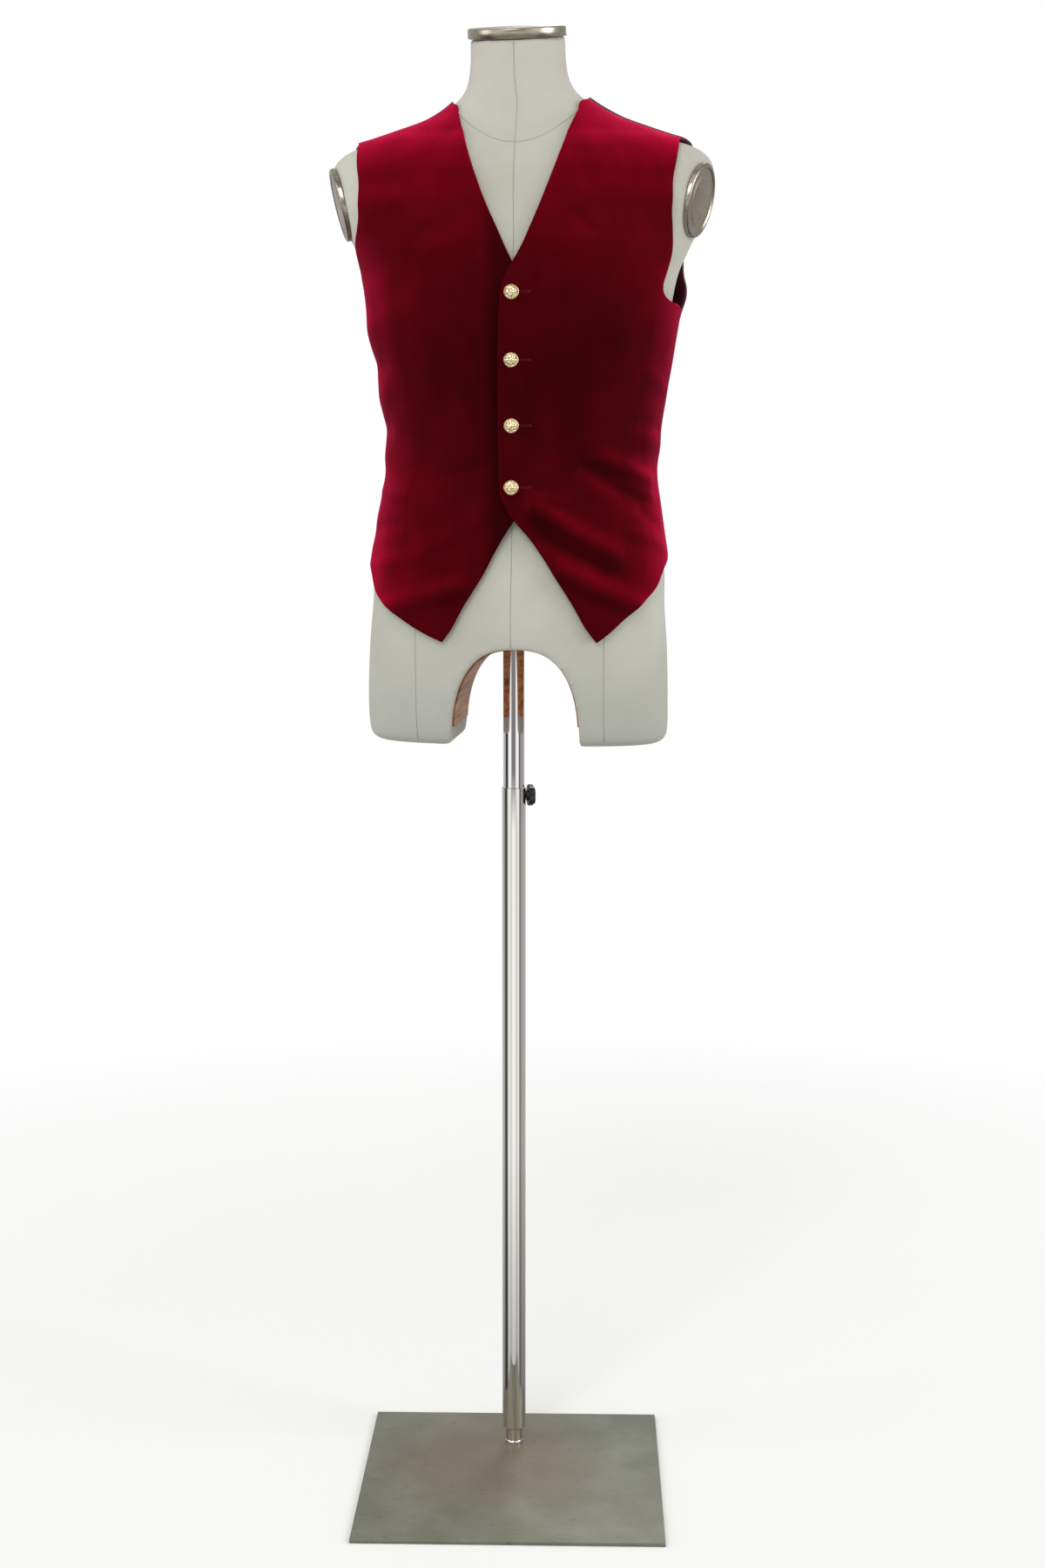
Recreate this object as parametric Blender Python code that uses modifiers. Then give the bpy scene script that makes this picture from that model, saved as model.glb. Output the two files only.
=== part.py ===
"""A velvet waistcoat, buttoned on a limbless dress form that stands on a telescopic mast.

Metres, +Z up. The origin is on the mast's axis, on the underside of the base plate.
The form's front faces -Y, and +X is the wearer's left.
A place on the torso is an angle and a height. The angle is 0 at the centre front, 90 degrees at
the wearer's left, -90 at the wearer's right and 180 at the centre back.
"""
import math

import bmesh
import bpy
import numpy as np
from mathutils import Matrix, Vector

for old_object in list(bpy.data.objects):
    bpy.data.objects.remove(old_object, do_unlink=True)

# Gaps between meshes that touch on the real object
touch_gap = 0.0003
seam_gap = 0.0003

# Cloth
cloth_thickness = 0.0020
closing_overlap = 0.0135
layer_lift = 0.0034
layer_lift_margin = 0.003
layer_lift_end = 0.055

# Base plate, tubes and knob
plate_side = 0.350
plate_thickness = 0.004
plate_forward = 0.0925
plate_turn = math.radians(3.3)
outer_tube_radius = 0.0140
outer_tube_wall = 0.0011
outer_tube_foot = 0.024
outer_tube_top = 0.811
plug_length = 0.035
plug_radius = 0.0124
stud_radius = 0.0072
stud_foot_radius = 0.0100
inner_tube_radius = 0.0125
inner_tube_wall = 0.0015
inner_tube_foot = 0.430
inner_tube_top = 1.280
bore_radius = 0.0129
bore_foot = 0.90
round_sides = 32
knob_height = 0.801
knob_turn = math.radians(18)
knob_radius = 0.0122
knob_lobe = 0.0009
knob_lobes = 5
knob_sides = 24
screw_radius = 0.0030
screw_hole_radius = 0.0034

# Form
form_columns = 44
form_rings = 46
neck_cap_radius = 0.0565
neck_cap_height = 0.0115
tunnel_half_width = 0.0735
tunnel_height = 0.111
tunnel_squareness = 2.5
tunnel_center_x = 0.0085
tunnel_sides = 48
tunnel_cutter_depth = 0.4
lining_thickness = 0.0015
lining_half_depth = 0.074
# Middle and outward direction of each shoulder's cut end. The form is turned a little on its
# mast, so the right one looks more to the side.
shoulder_end_left = (Vector((0.2100, -0.0265, 1.4820)), Vector((0.90, -0.37, -0.22)).normalized())
shoulder_end_right = (Vector((-0.1950, -0.0160, 1.4830)), Vector((-0.94, -0.23, -0.24)).normalized())
shoulder_cut_block = (0.24, 0.20, 0.10)
shoulder_cap_half_width = 0.0345
shoulder_cap_half_height = 0.0415

# Buttons, at the centre front
button_radius = 0.0083
button_heights = (1.3727, 1.3007, 1.2292, 1.1580)
button_seat = 0.0005

# Level sections of the form, from the ends of the thighs to the top of the neck.
# squareness is the power of the superellipse, sway is the section's centre in x, and tilt is its
# rise for each metre towards the wearer's left.
# height, half width, front, back, squareness, sway, tilt
form_sections = (
    (0.8680, 0.1600, 0.0780, 0.0790, 2.70, 0.0065, -0.010),
    (0.8715, 0.1690, 0.0880, 0.0890, 2.70, 0.0065, -0.010),
    (0.8810, 0.1740, 0.0940, 0.0945, 2.60, 0.0060, -0.010),
    (0.9180, 0.1755, 0.0990, 0.1000, 2.50, 0.0052, -0.008),
    (0.9790, 0.1738, 0.1060, 0.1080, 2.40, 0.0055, -0.004),
    (1.0300, 0.1700, 0.1110, 0.1130, 2.35, 0.0060, -0.002),
    (1.0700, 0.1685, 0.1120, 0.1125, 2.30, 0.0070, 0.000),
    (1.1200, 0.1600, 0.1085, 0.1050, 2.30, 0.0075, 0.000),
    (1.1900, 0.1485, 0.1020, 0.0900, 2.30, 0.0080, 0.000),
    (1.2600, 0.1540, 0.1070, 0.0890, 2.30, 0.0080, 0.000),
    (1.3400, 0.1685, 0.1170, 0.0970, 2.30, 0.0082, 0.003),
    (1.4000, 0.1785, 0.1215, 0.1040, 2.25, 0.0095, 0.005),
    (1.4250, 0.1880, 0.1220, 0.1065, 2.20, 0.0105, 0.006),
    (1.4420, 0.1965, 0.1205, 0.1075, 2.15, 0.0105, 0.007),
    (1.4590, 0.2065, 0.1185, 0.1075, 2.10, 0.0100, 0.008),
    (1.4780, 0.2150, 0.1155, 0.1065, 2.10, 0.0096, 0.008),
    (1.4970, 0.2190, 0.1110, 0.1045, 2.05, 0.0095, 0.008),
    (1.5150, 0.2190, 0.1050, 0.1010, 2.05, 0.0095, 0.007),
    (1.5300, 0.2140, 0.0960, 0.0955, 2.00, 0.0094, 0.005),
    (1.5415, 0.1990, 0.0870, 0.0905, 2.00, 0.0093, 0.004),
    (1.5505, 0.1710, 0.0800, 0.0860, 2.00, 0.0093, 0.004),
    (1.5610, 0.1420, 0.0745, 0.0810, 2.00, 0.0094, 0.006),
    (1.5715, 0.1140, 0.0700, 0.0765, 2.00, 0.0098, 0.009),
    (1.5825, 0.0930, 0.0665, 0.0715, 2.00, 0.0098, 0.012),
    (1.5925, 0.0785, 0.0640, 0.0670, 2.00, 0.0090, 0.015),
    (1.6030, 0.0665, 0.0620, 0.0620, 2.00, 0.0077, 0.018),
    (1.6130, 0.0600, 0.0605, 0.0585, 2.00, 0.0068, 0.020),
    (1.6240, 0.0565, 0.0592, 0.0555, 2.00, 0.0060, 0.021),
    (1.6420, 0.0542, 0.0578, 0.0530, 2.00, 0.0055, 0.021),
    (1.6680, 0.0538, 0.0572, 0.0525, 2.00, 0.0050, 0.021),
)

# The neck's end tips forward. nod is its rise for each metre towards the back.
# height, nod
neck_nods = (
    (1.5900, 0.000), (1.6030, 0.000), (1.6180, 0.045), (1.6420, 0.150), (1.6680, 0.242),
)

# Ease: how far the inside of the cloth stands off the form. It hangs a little to the left.
# height, left side, right side, front, back
ease_sections = (
    (0.9800, 0.0050, 0.0050, 0.0065, 0.0060),
    (1.0300, 0.0050, 0.0050, 0.0065, 0.0055),
    (1.0810, 0.0045, 0.0045, 0.0070, 0.0045),
    (1.1200, 0.0050, 0.0050, 0.0090, 0.0060),
    (1.1900, 0.0080, 0.0050, 0.0135, 0.0085),
    (1.2600, 0.0115, 0.0046, 0.0090, 0.0075),
    (1.3400, 0.0103, 0.0042, 0.0040, 0.0045),
    (1.4000, 0.0072, 0.0036, 0.0026, 0.0040),
    (1.4420, 0.0042, 0.0037, 0.0024, 0.0046),
    (1.4970, 0.0036, 0.0036, 0.0020, 0.0060),
    (1.5415, 0.0036, 0.0044, 0.0017, 0.0084),
    (1.5715, 0.0017, 0.0017, 0.0014, 0.0040),
    (1.6130, 0.0015, 0.0015, 0.0014, 0.0024),
)

# The largest folds, each a soft ridge (rise above 0) or trough between two places
# first angle in degrees, first height, second angle, second height, half width, rise
folds = (
    (13, 1.136, 50, 1.084, 0.0130, 0.0060),
    (18, 1.103, 52, 1.060, 0.0130, -0.0030),
    (27, 1.066, 60, 1.030, 0.0120, 0.0045),
    (40, 1.180, 66, 1.143, 0.0110, -0.0030),
    (48, 1.192, 72, 1.168, 0.0110, 0.0035),
    (-62, 1.024, -28, 1.050, 0.0120, 0.0035),
    (-74, 1.345, -98, 1.335, 0.0150, 0.0020),
    (-70, 1.300, -100, 1.306, 0.0130, -0.0022),
    (-72, 1.268, -100, 1.262, 0.0140, 0.0022),
    (-72, 1.228, -98, 1.232, 0.0120, -0.0020),
    (-74, 1.198, -98, 1.192, 0.0130, 0.0018),
    (72, 1.215, 100, 1.205, 0.0150, 0.0022),
    (90, 1.396, 116, 1.372, 0.0230, 0.0090),
)
fold_girth_radius = 0.150
fold_end_taper = 0.025

# Edges of the pieces, in x from the centre front and height, as the front view shows them
neckline = (
    (0.0100, 1.4236), (0.0185, 1.4425), (0.0269, 1.4617), (0.0348, 1.4811), (0.0420, 1.5007),
    (0.0493, 1.5210), (0.0557, 1.5413), (0.0624, 1.5635), (0.0662, 1.5756), (0.0690, 1.5870),
)
closing_left = (
    (0.0030, 1.1225), (-0.0045, 1.1320), (-0.0110, 1.1480), (-0.0132, 1.1620), (-0.0145, 1.2300),
    (-0.0150, 1.2900), (-0.0142, 1.3400), (-0.0120, 1.3740), (-0.0070, 1.3915), (0.0, 1.4047),
)
closing_right = (
    (0.0000, 1.1180), (-0.0060, 1.1270), (-0.0110, 1.1400), (-0.0132, 1.1620), (-0.0135, 1.2300),
    (-0.0135, 1.2900), (-0.0135, 1.3400), (-0.0115, 1.3760), (-0.0060, 1.3930), (0.0, 1.4047),
)
cutaway_left = (
    (0.0946, 0.9880), (0.0821, 1.0051), (0.0712, 1.0247), (0.0594, 1.0442), (0.0467, 1.0636),
    (0.0340, 1.0830), (0.0204, 1.1023), (0.0030, 1.1225),
)
cutaway_right = (
    (0.0760, 0.9880), (0.0640, 1.0051), (0.0537, 1.0247), (0.0419, 1.0442), (0.0301, 1.0636),
    (0.0203, 1.0830), (0.0096, 1.1023), (0.0000, 1.1180),
)
hem_left = (
    (0.0946, 0.9880), (0.1080, 0.9985), (0.1215, 1.0120), (0.1354, 1.0260), (0.1549, 1.0475),
)
hem_right = (
    (0.0760, 0.9880), (0.0930, 0.9955), (0.1130, 1.0065), (0.1354, 1.0230), (0.1549, 1.0418),
)
# Edges of the armholes, as angle in degrees and height, from the side seam up to the shoulder
armhole_left = (
    (80.0, 1.3660), (73.0, 1.3690), (69.2, 1.3763), (68.4, 1.3860), (69.6, 1.4000),
    (70.2, 1.4180), (68.6, 1.4412), (67.2, 1.4600), (66.8, 1.4750), (67.3, 1.4920),
    (69.1, 1.5117), (73.1, 1.5300), (78.5, 1.5420),
)
armhole_right = (
    (86.0, 1.3970), (81.5, 1.4030), (79.6, 1.4150), (77.6, 1.4300), (74.5, 1.4412),
    (71.4, 1.4508), (69.0, 1.4640), (68.2, 1.4800), (68.5, 1.4960), (69.8, 1.5117),
    (73.5, 1.5300), (78.5, 1.5420),
)
armhole_back_left = (
    (96.0, 1.3690), (98.5, 1.3800), (100.0, 1.4000), (102.0, 1.4200), (106.0, 1.4500),
    (109.0, 1.4800), (108.5, 1.5100), (104.0, 1.5330),
)
armhole_back_right = (
    (97.5, 1.3990), (101.0, 1.4120), (104.0, 1.4300), (107.0, 1.4520), (109.0, 1.4800),
    (108.5, 1.5100), (104.0, 1.5330),
)
side_seam_angle = 92.0
side_seam_hem = 1.088
side_seam_top_left = 1.3645
side_seam_top_right = 1.3950
back_hem_center = 1.084
# Places between the named ends of the hem and of the back's neck, as angle and height
front_hem_side = (math.radians(78), 1.0700)
back_hem_middle = (math.radians(135), 1.0860)
back_neck_stops = ((math.radians(140), 1.5898), (math.radians(108), 1.5935))
nape_height = 1.5890
neck_point_height = 1.5955
shoulder_tip_height = 1.5475

# Shares of the rows where a front's edge turns from the cutaway to the closing and then to the
# neckline, where an outer edge turns from the side seam to the armhole, and where the back's top
# turns from the neck to the shoulder seam
closing_start = 0.24
neckline_start = 0.62
armhole_start = 0.55
back_neck_end = 0.4

# Grid of the pieces: first and last share of a stretch, and the rows in it
front_row_stops = ((0.0, closing_start, 8), (closing_start, neckline_start, 11), (neckline_start, 1.0, 13))
back_row_stops = ((0.0, armhole_start, 8), (armhole_start, 1.0, 15))
front_column_count = 17
back_column_count = 12

parts = bpy.data.collections.new("velvet_waistcoat_on_dress_form")
cutters = bpy.data.collections.new("cutters")
bpy.context.scene.collection.children.link(parts)
bpy.context.scene.collection.children.link(cutters)


def material(name, color, roughness, metallic):
    """A plain finish with the piece's colour."""
    finish = bpy.data.materials.new(name)
    finish.use_nodes = True
    shader = finish.node_tree.nodes["Principled BSDF"]
    shader.inputs["Base Color"].default_value = (*color, 1.0)
    shader.inputs["Roughness"].default_value = roughness
    shader.inputs["Metallic"].default_value = metallic
    return finish


def velvet(name):
    return material(name, (0.19, 0.004, 0.018), 0.85, 0.0)


def satin(name):
    return material(name, (0.055, 0.003, 0.012), 0.45, 0.0)


def jersey(name):
    return material(name, (0.56, 0.54, 0.49), 0.9, 0.0)


def steel(name):
    return material(name, (0.60, 0.57, 0.52), 0.25, 1.0)


def add_object(name, mesh, finish, collection=parts):
    """Puts a mesh in the scene under the piece's name, with its finish."""
    piece = bpy.data.objects.new(name, mesh)
    mesh.name = name
    collection.objects.link(piece)
    if finish is not None:
        mesh.materials.append(finish)
    return piece


def mesh_from_bmesh(name, bm):
    bmesh.ops.recalc_face_normals(bm, faces=bm.faces)
    mesh = bpy.data.meshes.new(name)
    bm.to_mesh(mesh)
    bm.free()
    return mesh


def shade_round(piece, angle=math.radians(40)):
    piece.data.shade_smooth()
    piece.data.set_sharp_from_angle(angle=angle)


# Torso surface

def table_value(rows, column, height):
    """Reads one column of a table at any height, along a smooth curve through its rows."""
    heights = [row[0] for row in rows]
    height = min(max(height, heights[0]), heights[-1])
    index = max(i for i in range(len(rows) - 1) if heights[i] <= height)

    def slope(i):
        low = max(i - 1, 0)
        high = min(i + 1, len(rows) - 1)
        return (rows[high][column] - rows[low][column]) / (heights[high] - heights[low])

    span = heights[index + 1] - heights[index]
    t = (height - heights[index]) / span
    start = rows[index][column]
    end = rows[index + 1][column]
    return (
        (2 * t ** 3 - 3 * t ** 2 + 1) * start
        + (t ** 3 - 2 * t ** 2 + t) * span * slope(index)
        + (3 * t ** 2 - 2 * t ** 3) * end
        + (t ** 3 - t ** 2) * span * slope(index + 1)
    )


def form_point(angle, height):
    """A point of the form's surface."""
    half_width, front, back, power, sway, tilt = (
        table_value(form_sections, column, height) for column in range(1, 7)
    )
    across = math.sin(angle)
    along = math.cos(angle)
    depth = front if along > 0 else back
    reach = (abs(across / half_width) ** power + abs(along / depth) ** power) ** (-1 / power)
    x = reach * across
    y = -reach * along
    return Vector((x + sway, y, height + x * tilt + y * table_value(neck_nods, 1, height)))


def form_normal(angle, height):
    """The outward direction of the form's surface."""
    step_angle = 0.004
    step_height = 0.0008
    sideways = form_point(angle + step_angle, height) - form_point(angle - step_angle, height)
    upwards = form_point(angle, height + step_height) - form_point(angle, height - step_height)
    return sideways.cross(upwards).normalized()


def fold_rise(angle, height):
    """How far the folds push the cloth out at this place."""
    total = 0.0
    for angle_1, height_1, angle_2, height_2, half_width, rise in folds:
        start = Vector((math.radians(angle_1) * fold_girth_radius, height_1))
        end = Vector((math.radians(angle_2) * fold_girth_radius, height_2))
        place = Vector((angle * fold_girth_radius, height))
        run = end - start
        share = (place - start).dot(run) / run.length_squared
        nearest = start + run * min(max(share, 0.0), 1.0)
        away = (place - nearest).length
        overshoot = max(-share, share - 1.0, 0.0) * run.length
        fade = math.exp(-(overshoot / fold_end_taper) ** 2)
        total += rise * fade * math.exp(-(away / half_width) ** 2)
    return total


def ease_at(angle, height):
    """The cloth's distance from the form, without its folds."""
    left, right, front, back = (
        table_value(ease_sections, column, height) for column in range(1, 5)
    )
    facing = math.cos(angle) ** 2
    side = left if math.sin(angle) > 0 else right
    ahead = front if math.cos(angle) > 0 else back
    return side * (1 - facing) + ahead * facing


def cloth_point(angle, height, out=0.0):
    """A point of the cloth's inside, or one moved out from it."""
    stand_off = ease_at(angle, height) + fold_rise(angle, height) + out
    return form_point(angle, height) + form_normal(angle, height) * stand_off


# Edges of the pieces

def angle_at(x, height):
    """The angle where the section at this height is x from its centre, in front."""
    half_width, front, power = (table_value(form_sections, column, height) for column in (1, 2, 4))
    ratio = min(abs(x) / half_width, 0.9999)
    return math.atan2(x, front * (1 - ratio ** power) ** (1 / power))


def places(rows):
    """Places of stops that are given as x and height."""
    return [(angle_at(x, height), height) for x, height in rows]


def turns(rows):
    """Places of stops that are given as degrees and height."""
    return [(math.radians(degrees), height) for degrees, height in rows]


def smooth_run(stops, steps=12):
    """Places along a smooth curve through the stops."""
    points = [Vector(stop) for stop in stops]
    run = []
    for i in range(len(points) - 1):
        before = points[max(i - 1, 0)]
        after = points[min(i + 2, len(points) - 1)]
        start_slope = (points[i + 1] - before) * 0.5
        end_slope = (after - points[i]) * 0.5
        for step in range(steps):
            t = step / steps
            run.append(
                points[i] * (2 * t ** 3 - 3 * t ** 2 + 1)
                + start_slope * (t ** 3 - 2 * t ** 2 + t)
                + points[i + 1] * (3 * t ** 2 - 2 * t ** 3)
                + end_slope * (t ** 3 - t ** 2)
            )
    run.append(points[-1])
    return run


def edge(*runs):
    """An edge made of smooth runs. Each run is its first share, its last share and its stops.
    Gives a function from a share of the edge to its place, even in real length inside a run."""
    shares = []
    angles = []
    heights = []
    for first, last, stops in runs:
        run = smooth_run(stops)
        lengths = [0.0]
        for a, b in zip(run, run[1:]):
            lengths.append(lengths[-1] + (form_point(*b) - form_point(*a)).length)
        for place, length in zip(run, lengths):
            shares.append(first + (last - first) * length / lengths[-1])
            angles.append(place[0])
            heights.append(place[1])

    def place_at(share):
        return Vector((np.interp(share, shares, angles), np.interp(share, shares, heights)))

    return place_at


def shift(half_gap, height, angle_base, towards):
    """An angle moved by half a seam's gap, measured on the surface."""
    center = Vector((table_value(form_sections, 5, height), 0.0))
    radius = (form_point(angle_base, height).xy - center).length
    return angle_base + towards * half_gap / radius


def stations(stops):
    shares = [0.0]
    for first, last, count in stops:
        shares += [first + (last - first) * (i + 1) / count for i in range(count)]
    return shares


def panel(name, side, finish, edges, row_shares, column_count, lift):
    """A piece of cloth between its inner edge, outer edge, hem and top, as a thin wall.
    side is 1 on the wearer's left and -1 on the right."""
    inner, outer, hem, top = edges
    bm = bmesh.new()
    grid = []
    for v in row_shares:
        row = []
        for column in range(column_count + 1):
            u = column / column_count
            place = inner(v) * (1 - u) + outer(v) * u + hem(u) * (1 - v) + top(u) * v
            place -= (hem(0) * (1 - u) + hem(1) * u) * (1 - v) + (top(0) * (1 - u) + top(1) * u) * v
            angle = side * place[0]
            row.append(bm.verts.new(cloth_point(angle, place[1], lift(place[0], place[1]))))
        grid.append(row)
    outwards = side * (outer(0)[0] - inner(0)[0]) > 0
    for low, high in zip(grid, grid[1:]):
        for i in range(column_count):
            corners = (low[i], low[i + 1], high[i + 1], high[i])
            bm.faces.new(corners if outwards else corners[::-1])
    mesh = bpy.data.meshes.new(name)
    bm.to_mesh(mesh)
    bm.free()
    piece = add_object(name, mesh, finish)
    wall = piece.modifiers.new("wall", "SOLIDIFY")
    wall.thickness = cloth_thickness
    wall.offset = 1.0
    mesh.shade_smooth()
    return piece


def no_lift(angle, height):
    return 0.0


def closing_lift(angle, height):
    """The front that laps over stands off by the thickness of the front under it."""
    x = form_point(angle, height).x - table_value(form_sections, 5, height)
    lift_start = closing_overlap + layer_lift_margin
    t = (x - lift_start) / (layer_lift_end - lift_start)
    t = min(max(t, 0.0), 1.0)
    return layer_lift * (1 - t * t * (3 - 2 * t))


def seam_places(heights, angle, towards):
    return [(shift(seam_gap / 2, height, angle, towards), height) for height in heights]


def shoulder_seam(towards):
    heights = np.linspace(neck_point_height, shoulder_tip_height, 7)
    return seam_places(heights, math.pi / 2, towards)


def front(name, side, cutaway, closing, hem, armhole, seam_top, lift):
    """A front: its edge runs from the pointed hem up the cutaway, the closing and the neckline."""
    seam_angle = math.radians(side_seam_angle)
    side_low, side_high = seam_places((side_seam_hem, seam_top), seam_angle, -1)
    shoulder = shoulder_seam(-1)
    inner = edge(
        (0.0, closing_start, places(cutaway)),
        (closing_start, neckline_start, places(closing)),
        (neckline_start, 1.0, [places(closing)[-1]] + places(neckline) + [shoulder[0]]),
    )
    outer = edge(
        (0.0, armhole_start, [side_low, side_high]),
        (armhole_start, 1.0, [side_high] + turns(armhole) + [shoulder[-1]]),
    )
    hem_line = edge((0.0, 1.0, places(hem) + [front_hem_side, side_low]))
    top = edge((0.0, 1.0, shoulder))
    edges = (inner, outer, hem_line, top)
    finish = velvet(name + "_velvet")
    return panel(name, side, finish, edges, stations(front_row_stops), front_column_count, lift)


def back(name, side, armhole, seam_top):
    """Half of the back, from the centre back seam to the side seam and the armhole."""
    seam_angle = math.radians(side_seam_angle)
    side_low, side_high = seam_places((side_seam_hem, seam_top), seam_angle, 1)
    center_low, center_high = seam_places((back_hem_center, nape_height), math.pi, -1)
    shoulder = shoulder_seam(1)
    inner = edge((0.0, 1.0, [center_low, center_high]))
    outer = edge(
        (0.0, armhole_start, [side_low, side_high]),
        (armhole_start, 1.0, [side_high] + turns(armhole) + [shoulder[-1]]),
    )
    hem_line = edge((0.0, 1.0, [center_low, back_hem_middle, side_low]))
    neck = [center_high, *back_neck_stops, shoulder[0]]
    top = edge((0.0, back_neck_end, neck), (back_neck_end, 1.0, shoulder))
    edges = (inner, outer, hem_line, top)
    finish = satin(name + "_satin")
    return panel(name, side, finish, edges, stations(back_row_stops), back_column_count, no_lift)


# Turned and lofted pieces

def turned(name, profile, finish, sides=round_sides):
    """A turned piece: the profile's radii and heights, from the top down its outer side."""
    mesh = bpy.data.meshes.new(name)
    points = [(radius, 0.0, height) for radius, height in profile]
    mesh.from_pydata(points, [(i, i + 1) for i in range(len(points) - 1)], [])
    piece = add_object(name, mesh, finish)
    turn = piece.modifiers.new("turn", "SCREW")
    turn.steps = sides
    turn.render_steps = sides
    turn.use_merge_vertices = True
    turn.merge_threshold = 0.00005
    turn.use_smooth_shade = True
    return piece


def loft(name, rings, finish, collection=parts):
    """A closed solid through rings of equally many points."""
    bm = bmesh.new()
    rows = [[bm.verts.new(point) for point in ring] for ring in rings]
    count = len(rows[0])
    for low, high in zip(rows, rows[1:]):
        for i in range(count):
            j = (i + 1) % count
            bm.faces.new((low[i], low[j], high[j], high[i]))
    bm.faces.new(rows[0][::-1])
    bm.faces.new(rows[-1])
    return add_object(name, mesh_from_bmesh(name, bm), finish, collection)


def pipe(name, radius, wall, foot, top, finish):
    """A round tube, open at both ends."""
    bpy.ops.mesh.primitive_cylinder_add(
        vertices=round_sides, radius=radius, depth=top - foot, end_fill_type="NOTHING",
        location=(0, 0, (top + foot) / 2),
    )
    piece = bpy.context.object
    claim(piece, name, finish, parts)
    shell = piece.modifiers.new("tube_wall", "SOLIDIFY")
    shell.thickness = wall
    shell.offset = -1.0
    return piece


def claim(piece, name, finish, collection):
    """Gives a primitive its name, finish and collection."""
    piece.name = name
    piece.data.name = name
    for owner in list(piece.users_collection):
        owner.objects.unlink(piece)
    collection.objects.link(piece)
    if finish is not None:
        piece.data.materials.append(finish)


def hide_cutter(cutter):
    cutter.hide_render = True
    cutter.display_type = "WIRE"
    return cutter


def cylinder_cutter(name, radius, depth, place, rotation=(0, 0, 0), sides=round_sides):
    bpy.ops.mesh.primitive_cylinder_add(vertices=sides, radius=radius, depth=depth)
    cutter = bpy.context.object
    claim(cutter, name, None, cutters)
    cutter.location = place
    cutter.rotation_euler = rotation
    return hide_cutter(cutter)


def cut(piece, cutter):
    knife = piece.modifiers.new(cutter.name, "BOOLEAN")
    knife.operation = "DIFFERENCE"
    knife.object = cutter


# Stand

def base_plate():
    bpy.ops.mesh.primitive_cube_add(size=1)
    plate = bpy.context.object
    claim(plate, "base_plate", material("nickelled_steel", (0.34, 0.31, 0.26), 0.5, 0.9), parts)
    plate.data.transform(Matrix.Diagonal((plate_side, plate_side, plate_thickness, 1)))
    plate.data.transform(Matrix.Translation((0, -plate_forward, plate_thickness / 2)))
    plate.rotation_euler = (0, 0, plate_turn)
    return plate


def foot_stud():
    """The stud on the plate and the plug that closes the tube's lower end."""
    foot = plate_thickness + touch_gap
    neck = outer_tube_foot
    plug_top = neck + plug_length
    profile = (
        (0.0, plug_top), (plug_radius, plug_top), (plug_radius, neck - 0.0006),
        (0.0085, neck - 0.0040), (stud_radius, neck - 0.0060), (stud_radius, foot + 0.0020),
        (stud_foot_radius, foot + 0.0020), (stud_foot_radius, foot), (0.0, foot),
    )
    return turned("foot_stud", profile, steel("stud_steel"))


def outer_tube():
    tube = pipe("outer_tube", outer_tube_radius, outer_tube_wall, outer_tube_foot,
                outer_tube_top, steel("outer_tube_chrome"))
    direction = Vector((math.cos(knob_turn), math.sin(knob_turn), 0))
    hole = cylinder_cutter(
        "screw_hole", screw_hole_radius, 0.010,
        direction * outer_tube_radius + Vector((0, 0, knob_height)),
        rotation=(0, math.pi / 2, knob_turn), sides=16,
    )
    cut(tube, hole)
    return tube


def inner_tube():
    return pipe("inner_tube", inner_tube_radius, inner_tube_wall, inner_tube_foot,
                inner_tube_top, steel("inner_tube_chrome"))


def clamp_knob():
    """A lobed knob whose screw goes through the outer tube and presses on the inner one."""
    tip = inner_tube_radius + touch_gap
    hub = outer_tube_radius + 0.0008
    head = hub + 0.0020
    stops = (
        (tip, screw_radius, 0.0), (hub, screw_radius, 0.0), (hub, 0.0060, 0.0),
        (head, 0.0068, 0.0), (head, knob_radius - 0.0015, 0.6), (head + 0.0012, knob_radius, 1.0),
        (head + 0.0058, knob_radius, 1.0), (head + 0.0074, knob_radius - 0.0020, 0.8),
        (head + 0.0080, knob_radius - 0.0055, 0.3),
    )
    rings = []
    for reach, radius, lobed in stops:
        ring = []
        for i in range(knob_sides):
            turn = 2 * math.pi * i / knob_sides
            edge_radius = radius + lobed * knob_lobe * math.cos(knob_lobes * turn)
            ring.append(Vector((reach, edge_radius * math.cos(turn), edge_radius * math.sin(turn))))
        rings.append(ring)
    knob = loft("clamp_knob", rings, material("black_plastic", (0.012, 0.012, 0.014), 0.35, 0.0))
    knob.location = (0, 0, knob_height)
    knob.rotation_euler = (0, 0, knob_turn)
    shade_round(knob)
    return knob


# Form

def ring_heights():
    """Heights of the form's rings, even along its side outline."""
    low = form_sections[0][0]
    high = form_sections[-1][0]
    steps = 600
    heights = [low + (high - low) * i / steps for i in range(steps + 1)]
    outline = [form_point(math.pi / 2, height) for height in heights]
    lengths = [0.0]
    for a, b in zip(outline, outline[1:]):
        lengths.append(lengths[-1] + (b - a).length)
    targets = [lengths[-1] * i / (form_rings - 1) for i in range(form_rings)]
    return [float(np.interp(target, lengths, heights)) for target in targets]


def arch(inset, first, last):
    """Points of the tunnel's arch, as x and z. A closed arch runs from 0 to tunnel_sides."""
    points = []
    for i in range(first, last):
        turn = 2 * math.pi * i / tunnel_sides
        across = math.copysign(abs(math.cos(turn)) ** (2 / tunnel_squareness), math.cos(turn))
        up = math.copysign(abs(math.sin(turn)) ** (2 / tunnel_squareness), math.sin(turn))
        x = tunnel_center_x + (tunnel_half_width - inset) * across
        points.append((x, form_sections[0][0] + (tunnel_height - inset) * up))
    return points


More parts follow.
